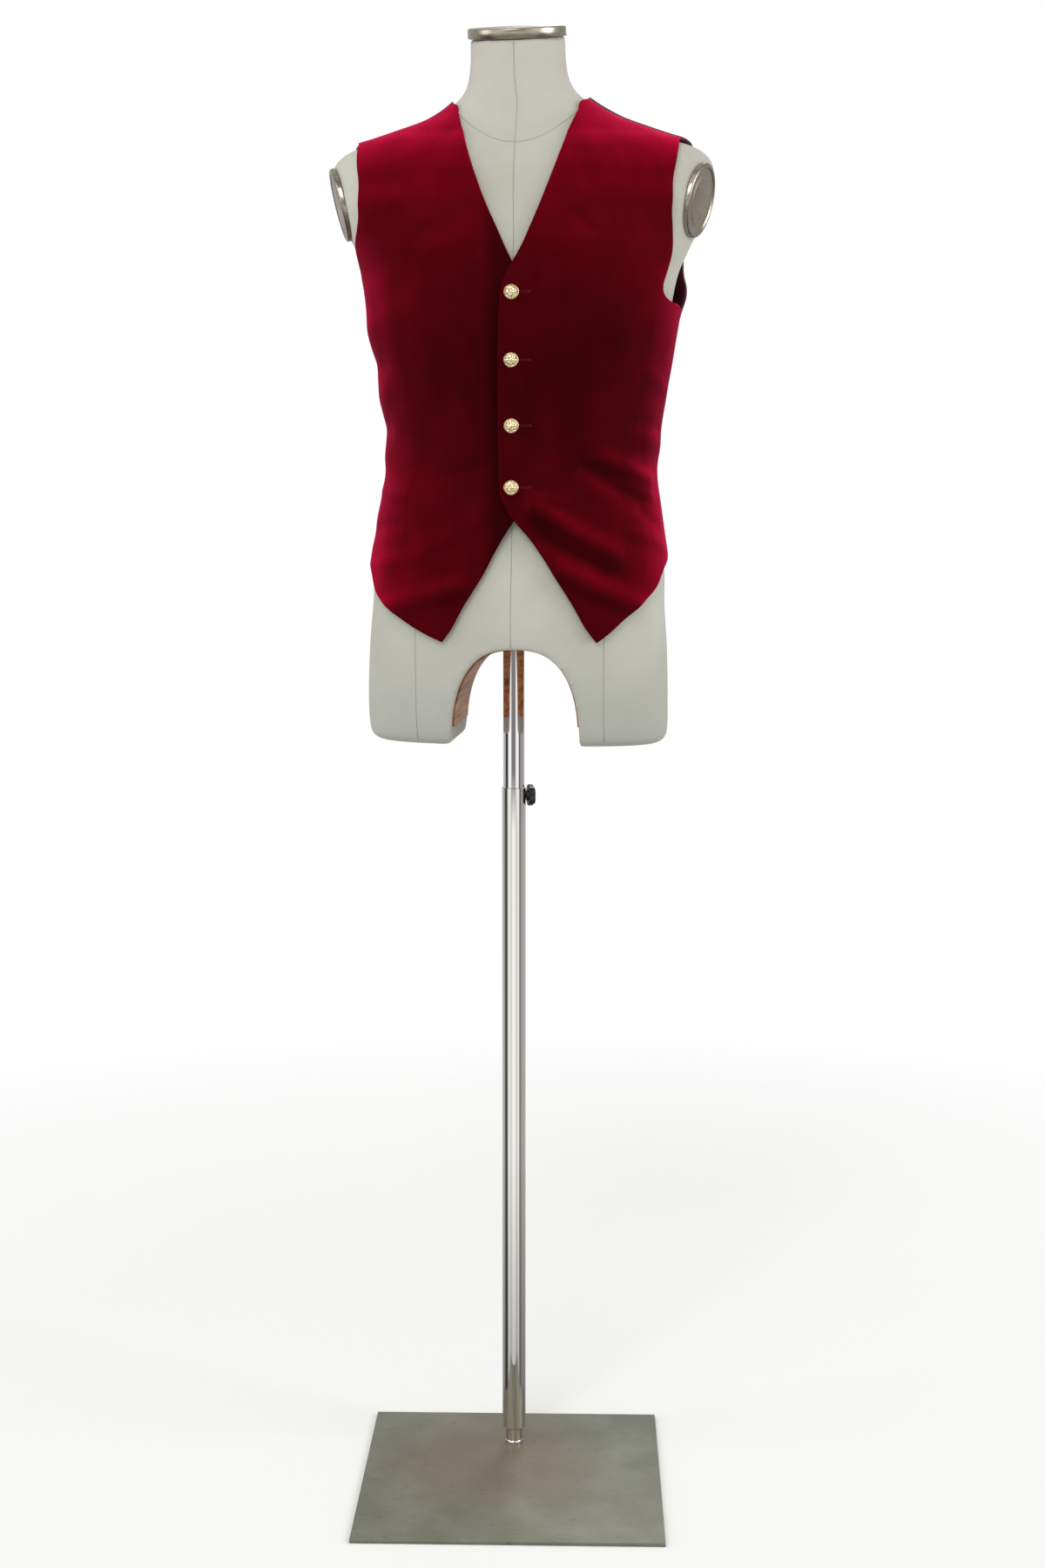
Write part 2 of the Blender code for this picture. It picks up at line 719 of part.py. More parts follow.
def form_body():
    """The closed torso, cut off at the shoulder caps, with the tunnel and the mast's bore."""
    rings = []
    for height in ring_heights():
        turns = [2 * math.pi * i / form_columns for i in range(form_columns)]
        rings.append([form_point(turn, height) for turn in turns])
    body = loft("form_body", rings, jersey("form_jersey"))
    shade_round(body, math.radians(50))
    tunnel_rings = [
        [Vector((x, y, z)) for x, z in arch(0.0, 0, tunnel_sides)]
        for y in (-tunnel_cutter_depth / 2, tunnel_cutter_depth / 2)
    ]
    tunnel = hide_cutter(loft("tunnel_cutter", tunnel_rings, None, cutters))
    bore_top = inner_tube_top + touch_gap
    bore = cylinder_cutter(
        "mast_bore_cutter", bore_radius, bore_top - bore_foot, (0, 0, (bore_top + bore_foot) / 2),
    )
    cut(body, tunnel)
    cut(body, bore)
    for side in (1, -1):
        cut(body, shoulder_cutter(side))
    return body, bore


def shoulder_plane(side):
    """The plane of a shoulder's cut end: its middle, with axes across, up and out of it."""
    middle, out = shoulder_end_left if side > 0 else shoulder_end_right
    up = (Vector((0, 0, 1)) - out * out.z).normalized()
    across = up.cross(out)
    return Matrix.Translation(middle) @ Matrix((across, up, out)).transposed().to_4x4()


def shoulder_cutter(side):
    """A block that takes off what lies outside a shoulder's plane."""
    bpy.ops.mesh.primitive_cube_add(size=1)
    cutter = bpy.context.object
    claim(cutter, "shoulder_cutter_%s" % ("left" if side > 0 else "right"), None, cutters)
    width, height, depth = shoulder_cut_block
    cutter.data.transform(Matrix.Diagonal((width, height, depth, 1)))
    cutter.data.transform(Matrix.Translation((0, 0, depth / 2)))
    cutter.matrix_world = shoulder_plane(side)
    return hide_cutter(cutter)


def tunnel_lining(bore):
    """The bare arched board between the thighs, with a hole for the mast."""
    inset = touch_gap * 2 + lining_thickness / 2
    bm = bmesh.new()
    rows = []
    for x, z in arch(inset, 1, tunnel_sides // 2):
        rows.append([bm.verts.new((x, y, z)) for y in (-lining_half_depth, lining_half_depth)])
    for a, b in zip(rows, rows[1:]):
        bm.faces.new((a[0], a[1], b[1], b[0]))
    mesh = mesh_from_bmesh("tunnel_lining", bm)
    piece = add_object("tunnel_lining", mesh, material("tan_board", (0.33, 0.14, 0.05), 0.6, 0.0))
    board = piece.modifiers.new("board", "SOLIDIFY")
    board.thickness = lining_thickness
    board.offset = 0.0
    cut(piece, bore)
    return piece


def neck_cap():
    """The round metal cap on the neck, tilted as the neck's end is."""
    top = neck_cap_height
    profile = (
        (0.0, top), (neck_cap_radius - 0.0060, top), (neck_cap_radius - 0.0040, top - 0.0006),
        (neck_cap_radius - 0.0010, top - 0.0004), (neck_cap_radius, top - 0.0014),
        (neck_cap_radius, 0.0010), (neck_cap_radius - 0.0010, 0.0), (0.0, 0.0),
    )
    cap = turned("neck_cap", profile, steel("neck_cap_steel"), sides=40)
    height, _, front, back, _, sway, tilt = form_sections[-1]
    nod = neck_nods[-1][1]
    center_y = (back - front) / 2
    out = Vector((-tilt, -nod, 1)).normalized()
    middle = Vector((sway, center_y, height + nod * center_y)) + out * touch_gap
    cap.matrix_world = Matrix.Translation(middle) @ out.to_track_quat("Z", "Y").to_matrix().to_4x4()
    return cap


def shoulder_cap(name, side):
    """A stepped oval plate on the cut end of a shoulder. Its radii are shares of its half sizes."""
    profile = (
        (0.0, 0.0052), (0.62, 0.0050), (0.70, 0.0040), (0.84, 0.0038), (0.88, 0.0052),
        (0.96, 0.0052), (1.0, 0.0040), (1.0, 0.0), (0.0, 0.0),
    )
    cap = turned(name, profile, steel(name + "_steel"), sides=28)
    stretch = Matrix.Diagonal((shoulder_cap_half_width, shoulder_cap_half_height, 1, 1))
    cap.matrix_world = shoulder_plane(side) @ Matrix.Translation((0, 0, touch_gap)) @ stretch
    return cap


# Buttons

def button(number, height):
    """A domed metal button with a rim, on the front that laps over."""
    profile = (
        (0.0, 0.0046), (0.0030, 0.0044), (0.0052, 0.0036), (0.0062, 0.0027), (0.0066, 0.0030),
        (0.0076, 0.0030), (button_radius, 0.0022), (button_radius, 0.0010), (0.0070, 0.0), (0.0, 0.0),
    )
    finish = material("button_brass_%d" % number, (0.75, 0.52, 0.22), 0.25, 1.0)
    piece = turned("button_%d" % number, profile, finish, sides=16)

    def outside(x, z):
        angle = angle_at(x, z)
        return cloth_point(angle, z, closing_lift(angle, z) + cloth_thickness)

    across = outside(button_radius, height) - outside(-button_radius, height)
    upward = outside(0, height + button_radius) - outside(0, height - button_radius)
    normal = across.cross(upward).normalized()
    upward = upward.normalized()
    sideways = upward.cross(normal)
    center = outside(0, height)
    turns = [2 * math.pi * i / 12 for i in range(12)]
    rim = [outside(button_radius * math.sin(t), height + button_radius * math.cos(t)) for t in turns]
    highest = max((point - center).dot(normal) for point in rim + [center])
    place = center + normal * (highest + button_seat)
    rotation = Matrix((sideways, upward, normal)).transposed().to_4x4()
    piece.matrix_world = Matrix.Translation(place) @ rotation
    return piece


def pivot(name, height, children):
    """An empty on a joint's axis that carries its pieces."""
    empty = bpy.data.objects.new(name, None)
    parts.objects.link(empty)
    empty.location = (0, 0, height)
    bpy.context.view_layer.update()
    for child in children:
        child.parent = empty
        child.matrix_parent_inverse = empty.matrix_world.inverted()
    return empty


def build():
    base_plate()
    foot_stud()
    outer_tube()
    mast = inner_tube()
    knob = clamp_knob()
    body, bore = form_body()
    torso = [body, tunnel_lining(bore), neck_cap()]
    torso += [shoulder_cap("shoulder_cap_left", 1), shoulder_cap("shoulder_cap_right", -1)]
    waistcoat = [
        front(
            "waistcoat_front_left", 1, cutaway_left, closing_left, hem_left, armhole_left,
            side_seam_top_left, closing_lift,
        ),
        front(
            "waistcoat_front_right", -1, cutaway_right, closing_right, hem_right, armhole_right,
            side_seam_top_right, no_lift,
        ),
        back("waistcoat_back_left", 1, armhole_back_left, side_seam_top_left),
        back("waistcoat_back_right", -1, armhole_back_right, side_seam_top_right),
    ]
    waistcoat += [button(i + 1, height) for i, height in enumerate(button_heights)]
    pivot("form_swivel", inner_tube_top, torso + waistcoat)
    pivot("mast_slide", outer_tube_top, [mast])
    pivot("knob_axis", knob_height, [knob])


build()
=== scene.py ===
# %% [markdown]
# Velvet waistcoat on a dress form stand
#
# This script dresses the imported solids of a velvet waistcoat. The waistcoat is buttoned on a
# limbless dress form, which stands on a telescopic mast with a square plate.
# The frame comes first, because every piece is placed by it. Lengths are in metres and +Z is up.
# The form's front faces -Y and +X is the wearer's left.

# %% Load the frame
import math

import bmesh
import bpy
import numpy as np
from mathutils import Matrix, Vector


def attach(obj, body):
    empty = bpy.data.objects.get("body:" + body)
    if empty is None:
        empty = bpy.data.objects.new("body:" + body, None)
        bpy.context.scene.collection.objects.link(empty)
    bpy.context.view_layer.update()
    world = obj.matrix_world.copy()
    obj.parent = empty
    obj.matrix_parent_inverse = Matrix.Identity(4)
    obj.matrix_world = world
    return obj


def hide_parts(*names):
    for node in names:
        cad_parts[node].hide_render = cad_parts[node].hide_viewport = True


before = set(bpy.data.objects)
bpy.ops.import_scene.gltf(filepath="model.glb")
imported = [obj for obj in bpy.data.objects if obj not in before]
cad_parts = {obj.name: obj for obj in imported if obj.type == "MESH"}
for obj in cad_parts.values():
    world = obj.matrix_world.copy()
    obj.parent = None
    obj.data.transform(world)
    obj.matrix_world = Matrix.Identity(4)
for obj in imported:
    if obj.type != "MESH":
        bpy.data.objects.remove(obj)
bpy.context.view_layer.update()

# %% [markdown]
# The camera stands where the picture was taken: 1.12 m high, 2.56 m from the mast, turned
# 5 degrees to the form's left side, and looking down by 7 degrees. A 50 mm lens on a 36 mm
# high frame gives the picture's perspective without any shift.

# %% Camera
camera_distance = 2.5555
camera_height = 1.1234
camera_azimuth = math.radians(5.0)
camera_yaw = math.radians(0.23)
camera_pitch = math.radians(6.886)
lens_mm = 50.0
frame_height_mm = 36.0

camera_data = bpy.data.cameras.new("camera")
camera_data.lens = lens_mm
camera_data.sensor_width = frame_height_mm
camera = bpy.data.objects.new("camera", camera_data)
camera.location = (
    camera_distance * math.sin(camera_azimuth),
    -camera_distance * math.cos(camera_azimuth),
    camera_height,
)
camera.rotation_euler = (math.pi / 2 - camera_pitch, 0, camera_azimuth - camera_yaw)
bpy.context.scene.collection.objects.link(camera)
bpy.context.scene.camera = camera
bpy.context.scene.view_settings.view_transform = "Standard"
print("camera:", [round(value, 3) for value in camera.location])

# %% [markdown]
# Every material and the world are made of nodes. One small function adds a node with its settings
# and links, another fills a colour ramp, and colours are written as sRGB hex codes.

# %% Small tools for nodes and colours
def linear(code):
    """An sRGB hex colour as linear red, green, blue and alpha."""
    parts = [int(code[i:i + 2], 16) / 255 for i in (1, 3, 5)]
    return tuple(p / 12.92 if p <= 0.04045 else ((p + 0.055) / 1.055) ** 2.4 for p in parts) + (1.0,)


def set_node(tree, node, settings=None, links=None):
    """Sets a node's properties and sockets, and links sources into its sockets."""
    for key, value in (settings or {}).items():
        if isinstance(key, int) or key in node.inputs:
            node.inputs[key].default_value = value
        else:
            setattr(node, key, value)
    for key, source in (links or {}).items():
        tree.links.new(source, node.inputs[key])
    return node


def add_node(tree, kind, settings=None, links=None):
    return set_node(tree, tree.nodes.new(kind), settings, links)


def set_ramp(ramp_node, stops):
    """Fills a colour ramp with positions and colours."""
    ramp = ramp_node.color_ramp
    while len(ramp.elements) < len(stops):
        ramp.elements.new(0.5)
    for element, (position, color) in zip(ramp.elements, stops):
        element.position = position
        element.color = color


def grey(value):
    return (value, value, value, 1.0)


print("mid grey as linear light:", round(linear("#808080")[0], 3))

# %% [markdown]
# The light is that of a product studio: a white room, one large soft light high in front, one
# at each side, and a weak one behind for the edge of the shoulders. Polished tubes need
# something to mirror, so the room that they see has darker and lighter bands, while the camera
# sees plain white. That is a matter of the world's light and not of any surface.

# %% World and lights
lower_walls_from = (-0.115, -0.14)
floor_shade_from = (-0.40, -0.28)
floor_shade = 0.42
room_strength = 0.85

world = bpy.data.worlds.new("studio")
bpy.context.scene.world = world
world.use_nodes = True
sky = world.node_tree
sky.nodes.clear()
direction = add_node(sky, "ShaderNodeTexCoord")
axes = add_node(sky, "ShaderNodeSeparateXYZ", links={0: direction.outputs["Generated"]})
forward = add_node(sky, "ShaderNodeMath", {"operation": "MULTIPLY", 1: -1.0}, {0: axes.outputs["Y"]})
azimuth = add_node(
    sky, "ShaderNodeMath", {"operation": "ARCTAN2"}, {0: axes.outputs["X"], 1: forward.outputs[0]}
)
round_room = add_node(
    sky, "ShaderNodeMapRange", {"From Min": -math.pi, "From Max": math.pi},
    {"Value": azimuth.outputs[0]},
)
# Azimuth in degrees from the room's front, and the wall's brightness there, for what mirrors the
# room's upper part and for what mirrors its lower part
upper_walls = (
    (-180, 0.60), (-125, 0.62), (-102, 0.50), (-90, 0.06), (-64, 0.05), (-57, 0.80), (-45, 1.25),
    (-26, 1.10), (-18, 0.26), (20, 0.22), (28, 1.00), (46, 1.25), (56, 0.95), (64, 0.12), (72, 0.14),
    (82, 0.36), (120, 0.42), (180, 0.60),
)
lower_walls = (
    (-180, 0.60), (-125, 0.62), (-102, 0.50), (-90, 0.10), (-64, 0.08), (-56, 0.80), (-45, 1.15),
    (-20, 0.80), (-8, 1.20), (16, 1.20), (26, 0.75), (46, 1.10), (56, 0.85), (64, 0.20), (72, 0.22),
    (82, 0.45), (120, 0.50), (180, 0.60),
)


def wall_ramp(walls):
    ramp = add_node(sky, "ShaderNodeValToRGB", links={"Fac": round_room.outputs["Result"]})
    set_ramp(ramp, [(0.5 + degrees / 360, grey(value)) for degrees, value in walls])
    return ramp


downward = add_node(
    sky, "ShaderNodeMapRange", {"From Min": lower_walls_from[0], "From Max": lower_walls_from[1]},
    {"Value": axes.outputs["Z"]},
)
walls = add_node(
    sky, "ShaderNodeMix", {"data_type": "RGBA"},
    {0: downward.outputs["Result"], 6: wall_ramp(upper_walls).outputs["Color"],
     7: wall_ramp(lower_walls).outputs["Color"]},
)
near_floor = add_node(
    sky, "ShaderNodeMapRange",
    {"From Min": floor_shade_from[0], "From Max": floor_shade_from[1], "To Min": floor_shade},
    {"Value": axes.outputs["Z"]},
)
shaded_walls = add_node(
    sky, "ShaderNodeVectorMath", {"operation": "SCALE"},
    {0: walls.outputs[2], "Scale": near_floor.outputs["Result"]},
)
mirrored = add_node(sky, "ShaderNodeBackground", {"Strength": 1.0}, {"Color": shaded_walls.outputs[0]})
plain = add_node(sky, "ShaderNodeBackground", {"Color": grey(1.0), "Strength": room_strength})
shown = add_node(sky, "ShaderNodeBackground", {"Color": grey(1.0), "Strength": 1.0})
ray = add_node(sky, "ShaderNodeLightPath")
room = add_node(
    sky, "ShaderNodeMixShader",
    links={0: ray.outputs["Is Glossy Ray"], 1: plain.outputs[0], 2: mirrored.outputs[0]},
)
seen = add_node(
    sky, "ShaderNodeMixShader",
    links={0: ray.outputs["Is Camera Ray"], 1: room.outputs[0], 2: shown.outputs[0]},
)
add_node(sky, "ShaderNodeOutputWorld", links={"Surface": seen.outputs[0]})


def soft_light(name, place, aim, size, power):
    """A large square light at a place, turned to its aim."""
    data = bpy.data.lights.new(name, "AREA")
    data.size = size
    data.energy = power
    light = bpy.data.objects.new(name, data)
    light.location = place
    light.rotation_euler = (Vector(aim) - Vector(place)).to_track_quat("-Z", "Y").to_euler()
    bpy.context.scene.collection.objects.link(light)


# name, place, aim, side in metres, power in watts
studio_lights = (
    ("front_light", (-0.6, -3.2, 3.0), (0, 0, 1.1), 1.6, 45),
    ("left_light", (-2.6, -0.8, 1.8), (0, 0, 1.1), 1.2, 13),
    ("right_light", (2.6, -0.6, 1.8), (0, 0, 1.1), 1.2, 25),
    ("back_light", (0.4, 2.6, 2.6), (0, 0, 1.3), 1.2, 12),
)
for studio_light in studio_lights:
    soft_light(*studio_light)
print("lights:", len(studio_lights))

# %% [markdown]
# The floor is pale matt paper, a little under the plate. It fades out with the distance, so that
# no horizon shows behind the form. Mirrors and soft light pass it by, since the bands of the
# studio's walls already stand for all that the tubes mirror.

# %% Floor
floor_radius = 3.0
floor_fade = (0.8, 2.2)
floor_drop = 0.0006


def pale_paper():
    finish = bpy.data.materials.new("pale_paper")
    finish.use_nodes = True
    tree = finish.node_tree
    tree.nodes.clear()
    place = add_node(tree, "ShaderNodeTexCoord")
    reach = add_node(
        tree, "ShaderNodeVectorMath", {"operation": "LENGTH"}, {0: place.outputs["Object"]}
    )
    fade = add_node(
        tree, "ShaderNodeMapRange", {"From Min": floor_fade[0], "From Max": floor_fade[1]},
        {"Value": reach.outputs["Value"]},
    )
    paper = add_node(tree, "ShaderNodeBsdfDiffuse", {"Color": linear("#e0e0de"), "Roughness": 1.0})
    clear = add_node(tree, "ShaderNodeBsdfTransparent")
    surface = add_node(
        tree, "ShaderNodeMixShader",
        links={0: fade.outputs["Result"], 1: paper.outputs[0], 2: clear.outputs[0]},
    )
    add_node(tree, "ShaderNodeOutputMaterial", links={"Surface": surface.outputs[0]})
    return finish


disc = bmesh.new()
bmesh.ops.create_circle(disc, cap_ends=True, segments=96, radius=floor_radius)
floor_mesh = bpy.data.meshes.new("floor")
disc.to_mesh(floor_mesh)
disc.free()
floor_mesh.materials.append(pale_paper())
floor = bpy.data.objects.new("floor", floor_mesh)
floor.location.z = -floor_drop
floor.visible_glossy = False
floor.visible_diffuse = False
bpy.context.scene.collection.objects.link(floor)
print("floor:", 2 * floor_radius, "m across")

# %% [markdown]
# The torso is described once and then used for the form's cover and for the cloth on it.
# A table gives level sections from the ends of the thighs to the top of the neck. Each section
# is a superellipse, a rounded box shape whose power says how square it is. Between the rows the
# values follow a smooth curve. A place on the torso is an angle from the centre front and a
# height, and the functions take whole arrays of them, because the fine meshes have many points.

# %% Torso sections
# height, half width, front, back, squareness, sway in x, tilt towards the wearer's left
form_sections = np.array((
    (0.8680, 0.1600, 0.0780, 0.0790, 2.70, 0.0065, -0.010),
    (0.8715, 0.1690, 0.0880, 0.0890, 2.70, 0.0065, -0.010),
    (0.8810, 0.1740, 0.0940, 0.0945, 2.60, 0.0060, -0.010),
    (0.9180, 0.1755, 0.0990, 0.1000, 2.50, 0.0052, -0.008),
    (0.9790, 0.1738, 0.1060, 0.1080, 2.40, 0.0055, -0.004),
    (1.0300, 0.1700, 0.1110, 0.1130, 2.35, 0.0060, -0.002),
    (1.0700, 0.1685, 0.1120, 0.1125, 2.30, 0.0070, 0.000),
    (1.1200, 0.1600, 0.1085, 0.1050, 2.30, 0.0075, 0.000),
    (1.1900, 0.1485, 0.1020, 0.0900, 2.30, 0.0080, 0.000),
    (1.2600, 0.1540, 0.1070, 0.0890, 2.30, 0.0080, 0.000),
    (1.3400, 0.1685, 0.1170, 0.0970, 2.30, 0.0082, 0.003),
    (1.4000, 0.1785, 0.1215, 0.1040, 2.25, 0.0095, 0.005),
    (1.4250, 0.1880, 0.1220, 0.1065, 2.20, 0.0105, 0.006),
    (1.4420, 0.1965, 0.1205, 0.1075, 2.15, 0.0105, 0.007),
    (1.4590, 0.2065, 0.1185, 0.1075, 2.10, 0.0100, 0.008),
    (1.4780, 0.2150, 0.1155, 0.1065, 2.10, 0.0096, 0.008),
    (1.4970, 0.2190, 0.1110, 0.1045, 2.05, 0.0095, 0.008),
    (1.5150, 0.2190, 0.1050, 0.1010, 2.05, 0.0095, 0.007),
    (1.5300, 0.2140, 0.0960, 0.0955, 2.00, 0.0094, 0.005),
    (1.5415, 0.1990, 0.0870, 0.0905, 2.00, 0.0093, 0.004),
    (1.5505, 0.1710, 0.0800, 0.0860, 2.00, 0.0093, 0.004),
    (1.5610, 0.1420, 0.0745, 0.0810, 2.00, 0.0094, 0.006),
    (1.5715, 0.1140, 0.0700, 0.0765, 2.00, 0.0098, 0.009),
    (1.5825, 0.0930, 0.0665, 0.0715, 2.00, 0.0098, 0.012),
    (1.5925, 0.0785, 0.0640, 0.0670, 2.00, 0.0090, 0.015),
    (1.6030, 0.0665, 0.0620, 0.0620, 2.00, 0.0077, 0.018),
    (1.6130, 0.0600, 0.0605, 0.0585, 2.00, 0.0068, 0.020),
    (1.6240, 0.0565, 0.0592, 0.0555, 2.00, 0.0060, 0.021),
    (1.6420, 0.0542, 0.0578, 0.0530, 2.00, 0.0055, 0.021),
    (1.6680, 0.0538, 0.0572, 0.0525, 2.00, 0.0050, 0.021),
))

# The neck's end tips forward. nod is its rise for each metre towards the back.
# height, nod
neck_nods = np.array((
    (1.5900, 0.000), (1.6030, 0.000), (1.6180, 0.045), (1.6420, 0.150), (1.6680, 0.242),
))

# height, and the cloth's distance from the form at its left, right, front and back
ease_sections = np.array((
    (0.9800, 0.0050, 0.0050, 0.0065, 0.0060),
    (1.0300, 0.0050, 0.0050, 0.0065, 0.0055),
    (1.0810, 0.0045, 0.0045, 0.0070, 0.0045),
    (1.1200, 0.0050, 0.0050, 0.0090, 0.0060),
    (1.1900, 0.0080, 0.0050, 0.0135, 0.0085),
    (1.2600, 0.0115, 0.0046, 0.0090, 0.0075),
    (1.3400, 0.0103, 0.0042, 0.0040, 0.0045),
    (1.4000, 0.0072, 0.0036, 0.0026, 0.0040),
    (1.4420, 0.0042, 0.0037, 0.0024, 0.0046),
    (1.4970, 0.0036, 0.0036, 0.0020, 0.0060),
    (1.5415, 0.0036, 0.0044, 0.0017, 0.0084),
    (1.5715, 0.0017, 0.0017, 0.0014, 0.0040),
    (1.6130, 0.0015, 0.0015, 0.0014, 0.0024),
))


def table_value(rows, column, height):
    """Reads a column at any heights, along a smooth curve through the table's rows."""
    heights = rows[:, 0]
    values = rows[:, column]
    height = np.clip(height, heights[0], heights[-1])
    last = len(heights) - 1
    low = np.clip(np.searchsorted(heights, height, side="right") - 1, 0, last - 1)
    before = np.maximum(np.arange(last + 1) - 1, 0)
    after = np.minimum(np.arange(last + 1) + 1, last)
    slopes = (values[after] - values[before]) / (heights[after] - heights[before])
    span = heights[low + 1] - heights[low]
    t = (height - heights[low]) / span
    return (
        (2 * t ** 3 - 3 * t ** 2 + 1) * values[low]
        + (t ** 3 - 2 * t ** 2 + t) * span * slopes[low]
        + (3 * t ** 2 - 2 * t ** 3) * values[low + 1]
        + (t ** 3 - t ** 2) * span * slopes[low + 1]
    )


def form_point(angle, height):
    """Points of the form's surface, as rows of x, y and z."""
    angle, height = np.broadcast_arrays(np.asarray(angle, float), np.asarray(height, float))
    half_width, front, back, power, sway, tilt = (
        table_value(form_sections, column, height) for column in range(1, 7)
    )
    across = np.sin(angle)
    along = np.cos(angle)
    depth = np.where(along > 0, front, back)
    reach = (np.abs(across / half_width) ** power + np.abs(along / depth) ** power) ** (-1 / power)
    x = reach * across
    y = -reach * along
    nod = table_value(neck_nods, 1, height)
    return np.stack((x + sway, y, height + x * tilt + y * nod), axis=-1)


def form_normal(angle, height):
    """Outward directions of the form's surface."""
    step_angle = 0.004
    step_height = 0.0008
    sideways_step = form_point(angle + step_angle, height) - form_point(angle - step_angle, height)
    upward_step = form_point(angle, height + step_height) - form_point(angle, height - step_height)
    normal = np.cross(sideways_step, upward_step)
    return normal / np.linalg.norm(normal, axis=-1, keepdims=True)


print("chest girth about", round(float(np.linalg.norm(np.diff(
    form_point(np.linspace(-math.pi, math.pi, 181), 1.40), axis=0), axis=1).sum()), 3), "m")

# %% [markdown]
# Folds are what makes cloth look worn. Velvet is thick, so its folds are broad and soft, and
# each one is written as a ridge or a trough between two places, with its width and its rise.
# The large ones are in the solids too. The small ones are only here: they fan out from the
# lowest button, cross the side seams where the waist is drawn in, and sag at the armholes.

# %% Folds
# angle and height of both ends, half width, rise
large_folds = (
    (13, 1.136, 50, 1.084, 0.0130, 0.0060),
    (18, 1.103, 52, 1.060, 0.0130, -0.0030),
    (27, 1.066, 60, 1.030, 0.0120, 0.0045),
    (40, 1.180, 66, 1.143, 0.0110, -0.0030),
    (48, 1.192, 72, 1.168, 0.0110, 0.0035),
    (-62, 1.024, -28, 1.050, 0.0120, 0.0035),
    (-74, 1.345, -98, 1.335, 0.0150, 0.0020),
    (-70, 1.300, -100, 1.306, 0.0130, -0.0022),
    (-72, 1.268, -100, 1.262, 0.0140, 0.0022),
    (-72, 1.228, -98, 1.232, 0.0120, -0.0020),
    (-74, 1.198, -98, 1.192, 0.0130, 0.0018),
    (72, 1.215, 100, 1.205, 0.0150, 0.0022),
    (90, 1.396, 116, 1.372, 0.0230, 0.0090),
)
small_folds = (
    (9, 1.150, 30, 1.142, 0.0050, 0.0008),
    (55, 1.165, 74, 1.150, 0.0060, 0.0012),
    (58, 1.140, 76, 1.118, 0.0070, -0.0010),
    (60, 1.110, 78, 1.095, 0.0080, 0.0012),
    (62, 1.235, 80, 1.228, 0.0070, -0.0010),
    (66, 1.290, 84, 1.270, 0.0090, 0.0010),
    (30, 1.455, 38, 1.437, 0.0060, -0.0008),
    (-54, 1.478, -44, 1.452, 0.0080, 0.0010),
    (-58, 1.150, -80, 1.158, 0.0080, 0.0011),
    (-60, 1.118, -82, 1.108, 0.0090, -0.0010),
    (-50, 1.080, -78, 1.072, 0.0090, 0.0010),
    (-20, 1.120, -46, 1.088, 0.0110, 0.0009),
    (-16, 1.180, -40, 1.172, 0.0100, -0.0007),
    (132, 1.200, 168, 1.206, 0.0110, 0.0014),
    (126, 1.168, 160, 1.160, 0.0100, -0.0012),
    (-134, 1.204, -166, 1.198, 0.0110, 0.0014),
    (-128, 1.166, -158, 1.170, 0.0100, -0.0012),
    (118, 1.400, 142, 1.368, 0.0120, 0.0012),
    (-120, 1.402, -140, 1.372, 0.0120, 0.0012),
)
fold_girth_radius = 0.150
fold_end_taper = 0.025


def fold_rise(angle, height):
    """How far the folds push the cloth out, in metres."""
    total = np.zeros(np.broadcast(angle, height).shape)
    for angle_1, height_1, angle_2, height_2, half_width, rise in large_folds + small_folds:
        start = np.array((math.radians(angle_1) * fold_girth_radius, height_1))
        run = np.array((math.radians(angle_2) * fold_girth_radius, height_2)) - start
        length = np.linalg.norm(run)
        across = angle * fold_girth_radius - start[0]
        up = height - start[1]
        share = (across * run[0] + up * run[1]) / length ** 2
        held = np.clip(share, 0, 1)
        away = np.hypot(across - held * run[0], up - held * run[1])
        overshoot = np.maximum(np.maximum(-share, share - 1), 0) * length
        fade = np.exp(-(overshoot / fold_end_taper) ** 2)
        total += rise * fade * np.exp(-(away / half_width) ** 2)
    return total


def slow_wave(angle, height):
    """A faint unevenness, as pressed and worn velvet has, up to a third of a millimetre."""
    s = angle * fold_girth_radius
    return 0.00016 * (
        np.sin(61 * s + 23 * height + 0.7) * np.sin(47 * height - 19 * s + 1.9)
        + np.sin(113 * s - 71 * height + 2.3) * np.sin(89 * height + 37 * s)
    )


def cloth_point(angle, height, out=0.0):
    """Points of the cloth's inside, or points moved out from it."""
    left, right, front, back = (table_value(ease_sections, column, height) for column in range(1, 5))
    facing = np.cos(angle) ** 2
    side = np.where(np.sin(angle) > 0, left, right)
    ease = side * (1 - facing) + np.where(np.cos(angle) > 0, front, back) * facing
    stand_off = ease + fold_rise(angle, height) + slow_wave(angle, height) + out
    return form_point(angle, height) + form_normal(angle, height) * np.asarray(stand_off)[..., None]


print("folds:", len(large_folds), "large and", len(small_folds), "small")

# %% [markdown]
# The pieces of the waistcoat are cut to outlines. On the real garment they are drawn flat on
# cloth; here each edge is drawn on the torso, as x and height seen from the front. A piece is
# then a grid that runs between its four edges, so its outermost threads follow the cut. The left
# front laps over the right one by 13.5 mm past the centre, as on men's clothes.

